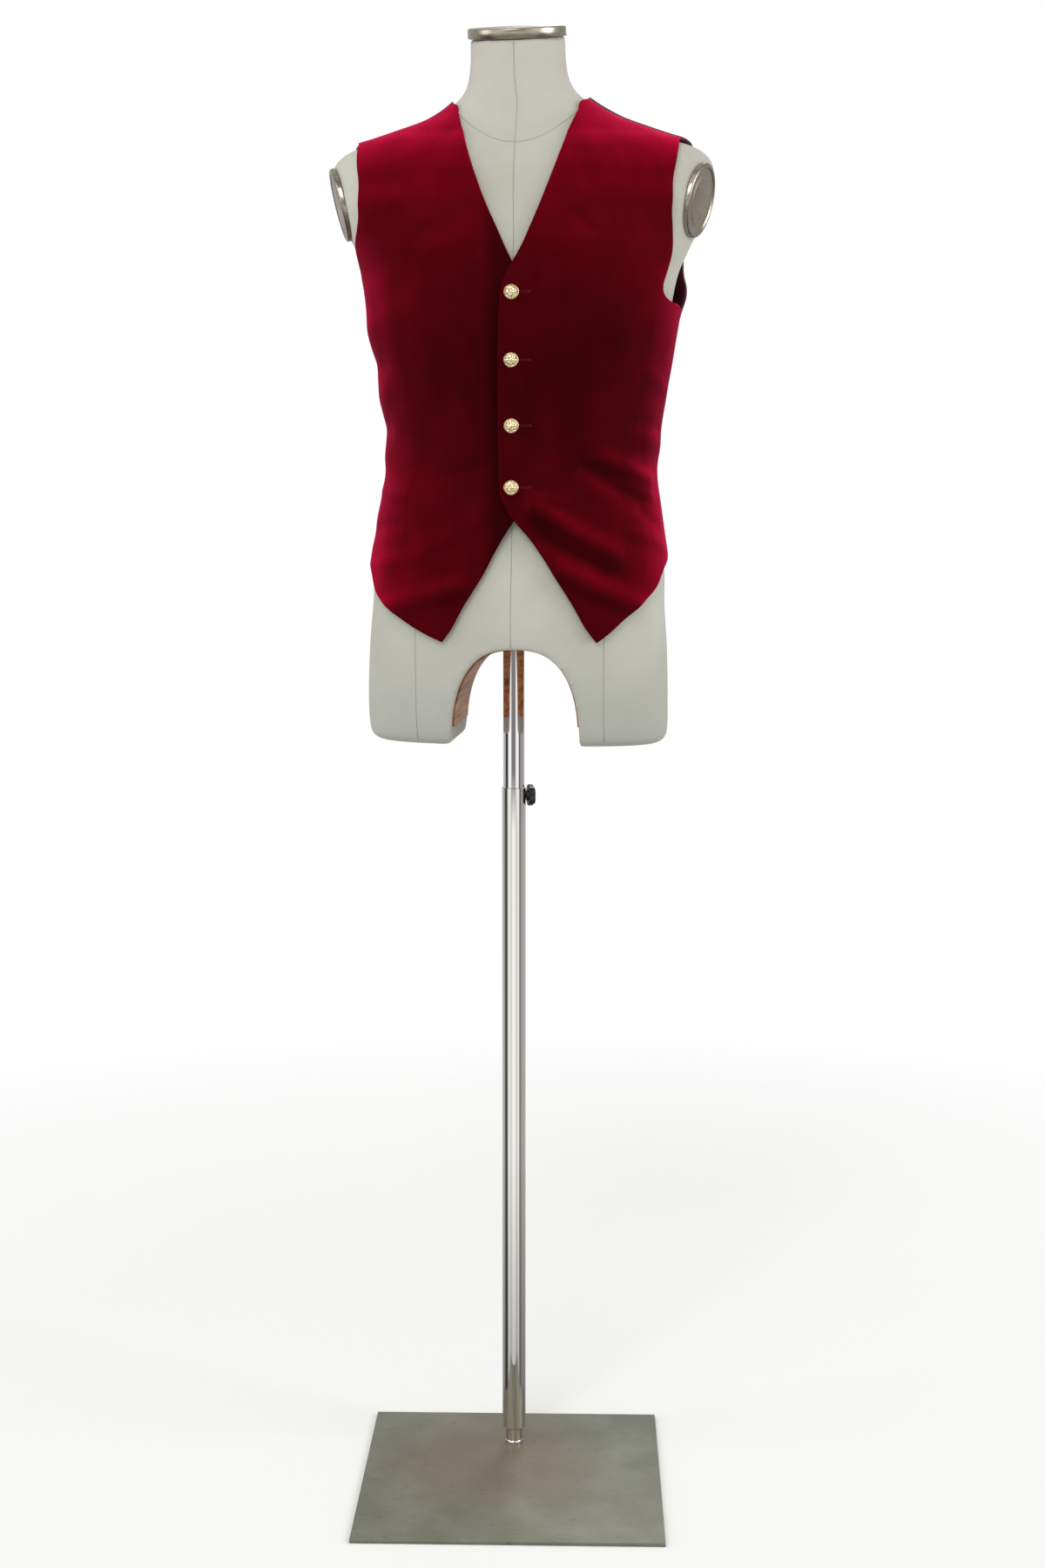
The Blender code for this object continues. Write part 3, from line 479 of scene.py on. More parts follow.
# %% Outlines of the pieces
neckline = (
    (0.0100, 1.4236), (0.0185, 1.4425), (0.0269, 1.4617), (0.0348, 1.4811), (0.0420, 1.5007),
    (0.0493, 1.5210), (0.0557, 1.5413), (0.0624, 1.5635), (0.0662, 1.5756), (0.0690, 1.5870),
)
closing_left = (
    (0.0030, 1.1225), (-0.0045, 1.1320), (-0.0110, 1.1480), (-0.0132, 1.1620), (-0.0145, 1.2300),
    (-0.0150, 1.2900), (-0.0142, 1.3400), (-0.0120, 1.3740), (-0.0070, 1.3915), (0.0, 1.4047),
)
closing_right = (
    (0.0000, 1.1180), (-0.0060, 1.1270), (-0.0110, 1.1400), (-0.0132, 1.1620), (-0.0135, 1.2300),
    (-0.0135, 1.2900), (-0.0135, 1.3400), (-0.0115, 1.3760), (-0.0060, 1.3930), (0.0, 1.4047),
)
cutaway_left = (
    (0.0946, 0.9880), (0.0821, 1.0051), (0.0712, 1.0247), (0.0594, 1.0442), (0.0467, 1.0636),
    (0.0340, 1.0830), (0.0204, 1.1023), (0.0030, 1.1225),
)
cutaway_right = (
    (0.0760, 0.9880), (0.0640, 1.0051), (0.0537, 1.0247), (0.0419, 1.0442), (0.0301, 1.0636),
    (0.0203, 1.0830), (0.0096, 1.1023), (0.0000, 1.1180),
)
hem_left = (
    (0.0946, 0.9880), (0.1080, 0.9985), (0.1215, 1.0120), (0.1354, 1.0260), (0.1549, 1.0475),
)
hem_right = (
    (0.0760, 0.9880), (0.0930, 0.9955), (0.1130, 1.0065), (0.1354, 1.0230), (0.1549, 1.0418),
)
# Edges of the armholes, as angle in degrees and height, from the side seam up to the shoulder
armhole_left = (
    (80.0, 1.3660), (73.0, 1.3690), (69.2, 1.3763), (68.4, 1.3860), (69.6, 1.4000),
    (70.2, 1.4180), (68.6, 1.4412), (67.2, 1.4600), (66.8, 1.4750), (67.3, 1.4920),
    (69.1, 1.5117), (73.1, 1.5300), (78.5, 1.5420),
)
armhole_right = (
    (86.0, 1.3970), (81.5, 1.4030), (79.6, 1.4150), (77.6, 1.4300), (74.5, 1.4412),
    (71.4, 1.4508), (69.0, 1.4640), (68.2, 1.4800), (68.5, 1.4960), (69.8, 1.5117),
    (73.5, 1.5300), (78.5, 1.5420),
)
armhole_back_left = (
    (96.0, 1.3690), (98.5, 1.3800), (100.0, 1.4000), (102.0, 1.4200), (106.0, 1.4500),
    (109.0, 1.4800), (108.5, 1.5100), (104.0, 1.5330),
)
armhole_back_right = (
    (97.5, 1.3990), (101.0, 1.4120), (104.0, 1.4300), (107.0, 1.4520), (109.0, 1.4800),
    (108.5, 1.5100), (104.0, 1.5330),
)
side_seam_angle = math.radians(92.0)
side_seam_hem = 1.088
side_seam_top_left = 1.3645
side_seam_top_right = 1.3950
back_hem_center = 1.084
nape_height = 1.5890
neck_point_height = 1.5955
shoulder_tip_height = 1.5475
seam_gap = 0.0003


def angle_at(x, height):
    """The angle where the section at this height is x from its centre, in front."""
    half_width, front, power = (float(table_value(form_sections, column, height)) for column in (1, 2, 4))
    ratio = min(abs(x) / half_width, 0.9999)
    return math.atan2(x, front * (1 - ratio ** power) ** (1 / power))


def places(rows):
    """Places of stops that are given as x and height."""
    return [(angle_at(x, height), height) for x, height in rows]


def turns_at(rows):
    """Places of stops that are given as degrees and height."""
    return [(math.radians(degrees), height) for degrees, height in rows]


def smooth_run(stops, steps=12):
    """Places along a smooth curve through the stops."""
    points = np.array(stops, float)
    run = []
    for i in range(len(points) - 1):
        start_slope = (points[i + 1] - points[max(i - 1, 0)]) * 0.5
        end_slope = (points[min(i + 2, len(points) - 1)] - points[i]) * 0.5
        for t in np.arange(steps) / steps:
            run.append(
                points[i] * (2 * t ** 3 - 3 * t ** 2 + 1) + start_slope * (t ** 3 - 2 * t ** 2 + t)
                + points[i + 1] * (3 * t ** 2 - 2 * t ** 3) + end_slope * (t ** 3 - t ** 2)
            )
    run.append(points[-1])
    return np.array(run)


def edge(*runs):
    """Joins smooth runs into an edge. Gives a function from a share of it to angle and height."""
    shares = []
    stops = []
    for first, last, run_stops in runs:
        run = smooth_run(run_stops)
        steps = np.linalg.norm(np.diff(form_point(run[:, 0], run[:, 1]), axis=0), axis=1)
        length = np.concatenate(([0.0], np.cumsum(steps)))
        shares.append(first + (last - first) * length / length[-1])
        stops.append(run)
    shares = np.concatenate(shares)
    stops = np.concatenate(stops)

    def place_at(share):
        return np.stack((
            np.interp(share, shares, stops[:, 0]), np.interp(share, shares, stops[:, 1]),
        ), axis=-1)

    return place_at


def seam_places(heights, angle, towards):
    """Places beside a seam, half of its gap away from it."""
    gap_places = []
    for height in heights:
        point = form_point(angle, height)
        radius = math.hypot(point[0] - table_value(form_sections, 5, height), point[1])
        gap_places.append((angle + towards * seam_gap / 2 / radius, height))
    return gap_places


def shoulder_seam(towards):
    return seam_places(np.linspace(neck_point_height, shoulder_tip_height, 7), math.pi / 2, towards)


def front_edges(cutaway, closing, hem, armhole, seam_top):
    """Inner edge, outer edge, hem and shoulder seam of a front."""
    side_low, side_high = seam_places((side_seam_hem, seam_top), side_seam_angle, -1)
    shoulder = shoulder_seam(-1)
    return (
        edge((0.0, 0.24, places(cutaway)), (0.24, 0.62, places(closing)),
             (0.62, 1.0, [places(closing)[-1]] + places(neckline) + [shoulder[0]])),
        edge((0.0, 0.55, [side_low, side_high]),
             (0.55, 1.0, [side_high] + turns_at(armhole) + [shoulder[-1]])),
        edge((0.0, 1.0, places(hem) + [(math.radians(78), 1.0700), side_low])),
        edge((0.0, 1.0, shoulder)),
    )


def back_edges(armhole, seam_top):
    """Centre back, outer edge, hem, and the neck with the shoulder seam, of half a back."""
    side_low, side_high = seam_places((side_seam_hem, seam_top), side_seam_angle, 1)
    center_low, center_high = seam_places((back_hem_center, nape_height), math.pi, -1)
    shoulder = shoulder_seam(1)
    neck = [center_high, (math.radians(140), nape_height + 0.0008), (math.radians(108), 1.5935), shoulder[0]]
    return (
        edge((0.0, 1.0, [center_low, center_high])),
        edge((0.0, 0.55, [side_low, side_high]),
             (0.55, 1.0, [side_high] + turns_at(armhole) + [shoulder[-1]])),
        edge((0.0, 1.0, [center_low, (math.radians(135), 1.0860), side_low])),
        edge((0.0, 0.4, neck), (0.4, 1.0, shoulder)),
    )


print("the left front's closing is", round(closing_left[-1][1] - closing_left[0][1], 3), "m high")

# %% [markdown]
# Velvet is cotton with a short cut pile that stands up from its ground weave. Looked at straight
# on, one sees down between the fibres, so it is dark. Where it turns away, the fibres' sides
# catch the light, so it glows at its edges and on its folds. That needs a sheen layer, and a base
# colour with painted sheen that goes from a deep red to a crimson with the facing, by Layer Weight.
# The base colour also carries painted light from above: slopes that face up are painted lighter
# and slopes that face down darker, and the chest is painted paler than the waist. The pile is
# 1.2 mm long and a little uneven, which gives soft upright streaks.
#
# Plainer finishes, such as thread, chrome or varnish, need only one noise for their colour, their
# relief and their dullness, so one function makes them all.

# %% Velvet
# A pattern's scale is how many of its patches lie in a metre. The pile's are 38 mm by 77 mm.
pile_patch = (26.0, 26.0, 13.0)
# Coarser than the pile's tufts, which are too fine to show
pile_grain = 0.0016
# Where the under front is painted darker, as shadow beside the front that laps over it
lap_shade_start = -0.026
lap_shade_end = -0.010
painted_light_foot = 1.05
painted_light_top = 1.60
# Height, and how bright the painted light from above makes the velvet there
painted_light_heights = (
    (1.05, 1.02), (1.12, 0.82), (1.20, 0.73), (1.32, 0.78), (1.40, 1.04), (1.47, 1.14), (1.55, 1.04),
    (1.60, 0.85),
)


def new_finish(name):
    """An empty material, with its node tree, its shader and the object's own coordinates."""
    finish = bpy.data.materials.new(name)
    finish.use_nodes = True
    tree = finish.node_tree
    shader = tree.nodes["Principled BSDF"]
    coordinates = add_node(tree, "ShaderNodeTexCoord")
    return finish, tree, shader, coordinates.outputs["Object"]


def mottled_finish(name, noise, stops, settings, stretch=None, relief=None, dull=None):
    """A finish whose colour, relief and dullness all follow one noise, stretched if need be."""
    finish, tree, shader, place = new_finish(name)
    if stretch:
        place = add_node(
            tree, "ShaderNodeMapping", {"Scale": stretch}, {"Vector": place}
        ).outputs["Vector"]
    pattern = add_node(tree, "ShaderNodeTexNoise", noise, {"Vector": place}).outputs["Fac"]
    links = {}
    if stops:
        tone = add_node(tree, "ShaderNodeValToRGB", links={"Fac": pattern})
        set_ramp(tone, [(position, linear(code)) for position, code in stops])
        links["Base Color"] = tone.outputs["Color"]
    if relief:
        strength, depth = relief
        bump = add_node(
            tree, "ShaderNodeBump", {"Strength": strength, "Distance": depth}, {"Height": pattern}
        )
        links["Normal"] = bump.outputs["Normal"]
    if dull:
        dulled = add_node(
            tree, "ShaderNodeMapRange", {"To Min": dull[0], "To Max": dull[1]}, {"Value": pattern}
        )
        links["Roughness"] = dulled.outputs["Result"]
    set_node(tree, shader, settings, links)
    return finish


def cotton_velvet(name, lap_shadow_tone):
    """Velvet with painted sheen and painted light from above. Beside the closing its base colour is scaled
    by lap_shadow_tone, a painted shadow under the front that laps over it.
    """
    finish, tree, shader, place = new_finish(name)
    # Painted sheen: the base colour runs from deep red where the cloth faces the view to crimson where it
    # turns away.
    facing = add_node(tree, "ShaderNodeLayerWeight", {"Blend": 0.42})
    painted_sheen = add_node(tree, "ShaderNodeValToRGB", links={"Fac": facing.outputs["Facing"]})
    set_ramp(painted_sheen, [
        (0.0, linear("#460006")), (0.25, linear("#5a000c")),
        (0.52, linear("#8a0424")), (1.0, linear("#ae103e")),
    ])
    streaked = add_node(tree, "ShaderNodeMapping", {"Scale": pile_patch}, {"Vector": place})
    patches = add_node(
        tree, "ShaderNodeTexNoise", {"Scale": 1.0, "Detail": 6.0, "Roughness": 0.6},
        {"Vector": streaked.outputs["Vector"]},
    )
    brushed = add_node(
        tree, "ShaderNodeMapRange",
        {"From Min": 0.32, "From Max": 0.68, "To Min": 0.82, "To Max": 1.18},
        {"Value": patches.outputs["Fac"]},
    )
    # Painted light from above: slopes that face up are painted lighter, slopes that face down darker.
    surface = add_node(tree, "ShaderNodeNewGeometry")
    tilt = add_node(tree, "ShaderNodeSeparateXYZ", links={0: surface.outputs["Normal"]})
    painted_slope_light = add_node(
        tree, "ShaderNodeMapRange",
        {"From Min": -0.28, "From Max": 0.36, "To Min": 0.52, "To Max": 1.36},
        {"Value": tilt.outputs["Z"]},
    )
    # Painted light by height: the chest is painted paler and the waist darker.
    level = add_node(tree, "ShaderNodeSeparateXYZ", links={0: place})
    height_share = add_node(
        tree, "ShaderNodeMapRange", {"From Min": painted_light_foot, "From Max": painted_light_top},
        {"Value": level.outputs["Z"]},
    )
    painted_height_light = add_node(tree, "ShaderNodeValToRGB", links={"Fac": height_share.outputs["Result"]})
    set_ramp(painted_height_light, [
        ((height - painted_light_foot) / (painted_light_top - painted_light_foot), grey(value)) for height, value in painted_light_heights
    ])
    uneven = add_node(
        tree, "ShaderNodeMath", {"operation": "MULTIPLY"},
        {0: brushed.outputs["Result"], 1: painted_slope_light.outputs["Result"]},
    )
    painted_light_patches = add_node(
        tree, "ShaderNodeMath", {"operation": "MULTIPLY"},
        {0: uneven.outputs[0], 1: painted_height_light.outputs["Color"]},
    )
    # Painted shadow: the under front is darker beside the front that laps over it.
    lap_shadow_mask = add_node(
        tree, "ShaderNodeMapRange",
        {"From Min": lap_shade_start, "From Max": lap_shade_end, "To Min": 1.0, "To Max": lap_shadow_tone},
        {"Value": level.outputs["X"]},
    )
    brightness = add_node(
        tree, "ShaderNodeMath", {"operation": "MULTIPLY"},
        {0: painted_light_patches.outputs[0], 1: lap_shadow_mask.outputs["Result"]},
    )
    shade = add_node(
        tree, "ShaderNodeVectorMath", {"operation": "SCALE"},
        {0: painted_sheen.outputs["Color"], "Scale": brightness.outputs[0]},
    )
    grain = add_node(
        tree, "ShaderNodeTexNoise", {"Scale": 1 / pile_grain, "Detail": 2.0, "Roughness": 0.7},
        {"Vector": place},
    )
    nap = add_node(
        tree, "ShaderNodeBump", {"Strength": 0.35, "Distance": 0.0006},
        {"Height": grain.outputs["Fac"]},
    )
    set_node(
        tree, shader,
        {
            "Roughness": 0.95,
            "Specular IOR Level": 0.04,
            "Sheen Weight": 0.30,
            "Sheen Roughness": 0.30,
            "Sheen Tint": linear("#cc0a44"),
        },
        {"Base Color": shade.outputs[0], "Normal": nap.outputs["Normal"]},
    )
    return finish


velvet = cotton_velvet("cotton_velvet", 1.0)
velvet_with_lap_shadow = cotton_velvet("cotton_velvet_lap_shadow", 0.5)
print("velvets:", velvet.name, velvet_with_lap_shadow.name)

# %% [markdown]
# The back and the lining are satin: long floats of a fine thread lie side by side, so the cloth
# is smooth, a little glossy, and its gloss runs across the threads. It is a dark burgundy.

# %% Satin
# A wave texture of scale 1 has a band every 0.31 m
wave_span = 0.31
# Coarser than the real floats. At this width the bands only soften the gloss.
satin_thread = 0.0006
satin_clouds = 14.0  # 71 mm


def acetate_satin():
    finish, tree, shader, place = new_finish("acetate_satin")
    threads = add_node(
        tree, "ShaderNodeTexWave",
        {"wave_type": "BANDS", "bands_direction": "Z", "Scale": wave_span / satin_thread, "Distortion": 1.5,
         "Detail": 2.0},
        {"Vector": place},
    )
    uneven = add_node(tree, "ShaderNodeTexNoise", {"Scale": satin_clouds, "Detail": 3.0}, {"Vector": place})
    tone = add_node(tree, "ShaderNodeValToRGB", links={"Fac": uneven.outputs["Fac"]})
    set_ramp(tone, [(0.3, linear("#3d051d")), (0.7, linear("#5a0c2c"))])
    weave = add_node(
        tree, "ShaderNodeBump", {"Strength": 0.12, "Distance": 0.0002},
        {"Height": threads.outputs["Fac"]},
    )
    set_node(
        tree, shader,
        {"Roughness": 0.42, "Anisotropic": 0.5, "Sheen Weight": 0.25, "Sheen Tint": linear("#b0507c")},
        {"Base Color": tone.outputs["Color"], "Normal": weave.outputs["Normal"]},
    )
    return finish


satin = acetate_satin()
print("satin:", satin.name, "with threads of", satin_thread, "m")

# %% [markdown]
# Each piece of the waistcoat is a thin wall, 2 mm thick, made from a fine grid by Solidify. The
# outside is velvet, and the inside, which shows at the armholes, is the satin lining. The cut
# edges are turned in on the real garment, so they are round, and a small bevel gives that.

# %% Waistcoat
cloth_thickness = 0.0020
closing_overlap = 0.0135
layer_lift = 0.0034
layer_lift_end = 0.055
edge_roll = 0.0007
ridge_rise = 0.0026
ridge_width = math.radians(7)
ridge_start = 1.50
ridge_fade = 0.03
lap_margin = 0.003
front_threads = (170, 84)
back_threads = (120, 60)


def closing_lift(angle, height):
    """The front that laps over stands off by the thickness of the front under it."""
    x = form_point(angle, height)[..., 0] - table_value(form_sections, 5, height)
    lap_end = closing_overlap + lap_margin
    t = np.clip((x - lap_end) / (layer_lift_end - lap_end), 0, 1)
    return layer_lift * (1 - t * t * (3 - 2 * t))


def add_object(name, mesh, *finishes):
    piece = bpy.data.objects.new(name, mesh)
    mesh.name = name
    bpy.context.scene.collection.objects.link(piece)
    for finish in finishes:
        mesh.materials.append(finish)
    return piece


def grid_mesh(name, points, flipped=False, closed=False):
    """A mesh of quads from rows of points. A closed grid joins its last column to its first."""
    rows, columns = points.shape[:2]
    index = np.arange(rows * columns).reshape(rows, columns)
    right = np.roll(index, -1, axis=1) if closed else index[:, 1:]
    left = index if closed else index[:, :-1]
    faces = np.stack((left[:-1], right[:-1], right[1:], left[1:]), axis=-1).reshape(-1, 4)
    if flipped:
        faces = faces[:, ::-1]
    mesh = bpy.data.meshes.new(name)
    mesh.from_pydata(points.reshape(-1, 3).tolist(), [], faces.tolist())
    mesh.shade_smooth()
    return mesh


def apply_modifiers(piece):
    """Replaces the piece's mesh by what its modifiers make of it."""
    graph = bpy.context.evaluated_depsgraph_get()
    made = bpy.data.meshes.new_from_object(piece.evaluated_get(graph))
    piece.modifiers.clear()
    old = piece.data
    piece.data = made
    bpy.data.meshes.remove(old)
    made.name = piece.name


def panel(name, side, edges, threads, lift, finishes):
    """A piece of the waistcoat as a wall between its four edges."""
    inner, outer, hem, top = edges
    rows, columns = threads
    v = np.linspace(0, 1, rows + 1)[:, None, None]
    u = np.linspace(0, 1, columns + 1)[None, :, None]
    grid = inner(v[:, 0, 0])[:, None] * (1 - u) + outer(v[:, 0, 0])[:, None] * u
    grid = grid + hem(u[0, :, 0])[None] * (1 - v) + top(u[0, :, 0])[None] * v
    corners_low = hem(0.0) * (1 - u) + hem(1.0) * u
    corners_high = top(0.0) * (1 - u) + top(1.0) * u
    grid = grid - corners_low * (1 - v) - corners_high * v
    angle, height = grid[..., 0], grid[..., 1]
    points = cloth_point(side * angle, height, lift(angle, height))
    across = np.linalg.norm(np.diff(points, axis=1), axis=-1).sum(axis=1).max()
    along = np.linalg.norm(np.diff(points, axis=0), axis=-1).sum(axis=0).max()
    print(name, "widest", round(float(across), 3), "longest", round(float(along), 3), "m")
    inwards = side * (outer(0.0)[0] - inner(0.0)[0]) < 0
    piece = add_object(name, grid_mesh(name, points, flipped=inwards), *finishes)
    wall = piece.modifiers.new("wall", "SOLIDIFY")
    wall.thickness = cloth_thickness
    wall.offset = 1.0
    wall.material_offset = len(finishes) - 1
    roll = piece.modifiers.new("turned_edge", "BEVEL")
    roll.width = edge_roll
    roll.segments = 2
    roll.limit_method = "ANGLE"
    roll.angle_limit = math.radians(60)
    apply_modifiers(piece)
    piece.data.shade_smooth()
    return piece


def no_lift(angle, height):
    return 0.0


def shoulder_ridge(angle, height):
    """The back's seam allowance makes a low ridge along the shoulder seam."""
    near = np.exp(-((angle - math.pi / 2) / ridge_width) ** 2)
    return ridge_rise * near * np.clip((height - ridge_start) / ridge_fade, 0, 1)


front_left = panel(
    "velvet_front_left", 1,
    front_edges(cutaway_left, closing_left, hem_left, armhole_left, side_seam_top_left),
    front_threads, closing_lift, (velvet, satin),
)
front_right = panel(
    "velvet_front_right", -1,
    front_edges(cutaway_right, closing_right, hem_right, armhole_right, side_seam_top_right),
    front_threads, no_lift, (velvet_with_lap_shadow, satin),
)
back_left = panel(
    "satin_back_left", 1, back_edges(armhole_back_left, side_seam_top_left),
    back_threads, shoulder_ridge, (satin, satin),
)
back_right = panel(
    "satin_back_right", -1, back_edges(armhole_back_right, side_seam_top_right),
    back_threads, shoulder_ridge, (satin, satin),
)

for piece, node, slot_name in (
    (front_left, "waistcoat_front_left", "velvet"),
    (front_right, "waistcoat_front_right", "velvet"),
    (back_left, "waistcoat_back_left", "satin"),
    (back_right, "waistcoat_back_right", "satin"),
):
    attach(piece, "form")
    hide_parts(node)
    area = sum(face.area for face in piece.data.polygons) / 2
    print(piece.name, len(piece.data.polygons), "faces, cloth area", round(area, 4), "m2")

# %% [markdown]
# Small meshes are made in three ways: by turning a profile round an axis, by laying a round cord
# along a path on a surface, and by a skin through rings. All of them are grids of quads.

# %% Turned pieces, skins and cords
def merged(mesh, sharp_angle=35.0):
    """Closes poles and seams, turns the faces outwards and keeps real corners sharp."""
    build = bmesh.new()
    build.from_mesh(mesh)
    bmesh.ops.remove_doubles(build, verts=build.verts, dist=1e-6)
    bmesh.ops.recalc_face_normals(build, faces=build.faces)
    build.to_mesh(mesh)
    build.free()
    mesh.shade_smooth()
    mesh.set_sharp_from_angle(angle=math.radians(sharp_angle))
    return mesh


def skin(name, rings, finish, sharp_angle=35.0):
    """A closed skin through rings of equally many points."""
    return add_object(name, merged(grid_mesh(name, np.asarray(rings), closed=True), sharp_angle), finish)


def turned(name, profile, finish, place=Matrix.Identity(4), sides=96, width=1.0, height=1.0):
    """A turned piece from radii and heights. Width and height stretch it to an oval."""
    turns = np.linspace(0, 2 * math.pi, sides, endpoint=False)
    rings = [
        np.stack((radius * width * np.cos(turns), radius * height * np.sin(turns),
                  np.full(sides, level)), axis=-1)
        for radius, level in profile
    ]
    piece = skin(name, rings, finish)
    piece.data.transform(place)
    return piece


def cord(name, path, outward, radius, finish, sides=8):
    """A round cord along a path, with the outward direction at each of its points."""
    path = np.asarray(path)
    outward = np.asarray(outward)
    along = np.gradient(path, axis=0)
    across = np.cross(along, outward)
    across /= np.linalg.norm(across, axis=1, keepdims=True)
    turns = np.linspace(0, 2 * math.pi, sides, endpoint=False)
    radius = np.broadcast_to(radius, len(path))[:, None, None]
    rings = path[:, None] + radius * (
        np.cos(turns)[None, :, None] * outward[:, None] + np.sin(turns)[None, :, None] * across[:, None]
    )
    first, last = (np.repeat(end[None, None], sides, axis=1) for end in (path[0], path[-1]))
    rings = np.concatenate((first, rings, last))
    return skin(name, rings, finish, 80.0)


def joined(name, pieces):
    """Makes one piece of several."""
    build = bmesh.new()
    for piece in pieces:
        build.from_mesh(piece.data)
    mesh = bpy.data.meshes.new(name)
    build.to_mesh(mesh)
    build.free()
    finish = pieces[0].data.materials[0]
    for piece in pieces:
        bpy.data.objects.remove(piece)
    return add_object(name, mesh, finish)


def settle(piece, body, slot_name, *nodes):
    """Lets a piece ride on its body and hides the nodes that it stands for."""
    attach(piece, body)
    if nodes:
        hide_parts(*nodes)


print("meshes are made by:", ", ".join(way.__name__ for way in (turned, skin, cord)))

# %% [markdown]
# The form's cover is a fine cotton jersey, off-white and a little grey with age, stretched
# tightly over a hard shell. Its loops are half a millimetre wide, so from a step away they
# only take the gloss off. Thin seams run down the centre front, the centre back and each thigh,
# and round the base of the neck.

# %% Jersey
# Twice the real loop's width, since half a millimetre doesn't show in the render
jersey_loop = 0.0011
jersey_aging = 5.0  # 200 mm
seam_twists = 900.0  # 1.1 mm
low_tint_top = 1.02


def cotton_jersey():
    finish, tree, shader, place = new_finish("cotton_jersey")
    aging = add_node(
        tree, "ShaderNodeTexNoise", {"Scale": jersey_aging, "Detail": 4.0, "Roughness": 0.6},
        {"Vector": place},
    )
    tone = add_node(tree, "ShaderNodeValToRGB", links={"Fac": aging.outputs["Fac"]})
    set_ramp(tone, [(0.30, linear("#a5a397")), (0.55, linear("#b0afa4")), (0.75, linear("#b9b8ae"))])
    ribs = add_node(
        tree, "ShaderNodeTexWave",
        {"wave_type": "BANDS", "bands_direction": "X", "Scale": wave_span / jersey_loop, "Distortion": 0.6},
        {"Vector": place},
    )
    loops = add_node(
        tree, "ShaderNodeTexVoronoi", {"Scale": 1 / jersey_loop, "Randomness": 0.7}, {"Vector": place}
    )
    knit = add_node(
        tree, "ShaderNodeMath", {"operation": "ADD"},
        {0: ribs.outputs["Fac"], 1: loops.outputs["Distance"]},
    )
    bump = add_node(
        tree, "ShaderNodeBump", {"Strength": 0.25, "Distance": 0.0003}, {"Height": knit.outputs[0]}
    )
    level = add_node(tree, "ShaderNodeSeparateXYZ", links={0: place})
    # Greyer and greener towards the bottom of the thighs, mixed in up to half.
    low_tint = add_node(
        tree, "ShaderNodeMapRange",
        {"From Min": form_sections[0, 0], "From Max": low_tint_top, "To Min": 0.5, "To Max": 0.0},
        {"Value": level.outputs["Z"]},
    )
    shade = add_node(
        tree, "ShaderNodeMix", {"data_type": "RGBA", 7: linear("#93978f")},
        {0: low_tint.outputs["Result"], 6: tone.outputs["Color"]},
    )
    set_node(
        tree, shader,
        {"Roughness": 0.88, "Specular IOR Level": 0.2, "Sheen Weight": 0.12},
        {"Base Color": shade.outputs[2], "Normal": bump.outputs["Normal"]},
    )
    return finish


def seam_thread():
    return mottled_finish(
        "seam_thread", {"Scale": seam_twists}, ((0.3, "#84857c"), (0.7, "#97978e")), {"Roughness": 0.85}
    )


jersey = cotton_jersey()
seam_finish = seam_thread()
print("cover:", jersey.name, "and", seam_finish.name)

# %% [markdown]
# The body of the form is one closed skin. The tunnel between the thighs, the mast's bore and the
# ends of the shoulders are cut from it. A fine voxel remesh and a little smoothing then round
# the cut edges, as the cover does where it is pulled round them.

# %% Form cover
tunnel_half_width = 0.0735
tunnel_height = 0.111
tunnel_squareness = 2.5
tunnel_center_x = 0.0085
bore_radius = 0.0150
bore_foot = 0.90
bore_top = 1.284
# Middle and outward direction of each cut end. The form is turned a little on its mast.
shoulder_end_left = (Vector((0.2100, -0.0265, 1.4820)), Vector((0.90, -0.37, -0.22)).normalized())
shoulder_end_right = (Vector((-0.1950, -0.0160, 1.4830)), Vector((-0.94, -0.23, -0.24)).normalized())
shoulder_block = (0.24, 0.20, 0.10)
cover_voxel = 0.0036
cover_smoothing = 6
cover_rows = 220
cover_columns = 192
tunnel_points = 120
knife_reach = 0.2


def shoulder_plane(side):
    """The plane of a shoulder's cut end, with its axes across, up and out of it."""
    middle, out = shoulder_end_left if side > 0 else shoulder_end_right
    up = (Vector((0, 0, 1)) - out * out.z).normalized()
    across = up.cross(out)
    return Matrix.Translation(middle) @ Matrix((across, up, out)).transposed().to_4x4()


def cut(piece, knife):
    """Takes a knife's shape out of a piece, and the knife out of the scene."""
    trim = piece.modifiers.new("cut", "BOOLEAN")
    trim.operation = "DIFFERENCE"
    trim.solver = "EXACT"
    trim.object = knife
    apply_modifiers(piece)
    bpy.data.objects.remove(knife)


def round_knife(radius_x, radius_y, depth, place, sides=96):
    """A closed oval cylinder round the z axis, put in its place by a matrix."""
    return turned(
        "knife", ((0, -depth / 2), (radius_x, -depth / 2), (radius_x, depth / 2), (0, depth / 2)),
        None, place, sides, 1.0, radius_y / radius_x,
    )


def arch(inset, turns):
    """Points of the tunnel's arch, as arrays of x and z."""
    power = 2 / tunnel_squareness
    across = np.sign(np.cos(turns)) * np.abs(np.cos(turns)) ** power
    up = np.sign(np.sin(turns)) * np.abs(np.sin(turns)) ** power
    x = tunnel_center_x + (tunnel_half_width - inset) * across
    return x, form_sections[0, 0] + (tunnel_height - inset) * up


def cut_bore(piece):
    """Drills the mast's bore up into a piece."""
    place = Matrix.Translation((0, 0, (bore_top + bore_foot) / 2))
    cut(piece, round_knife(bore_radius, bore_radius, bore_top - bore_foot, place))


def block_mesh(name, matrix):
    """A block with sides of 1 m, stretched and placed by a matrix."""
    build = bmesh.new()
    bmesh.ops.create_cube(build, size=1)
    mesh = bpy.data.meshes.new(name)
    build.to_mesh(mesh)
    build.free()
    mesh.transform(matrix)
    return mesh


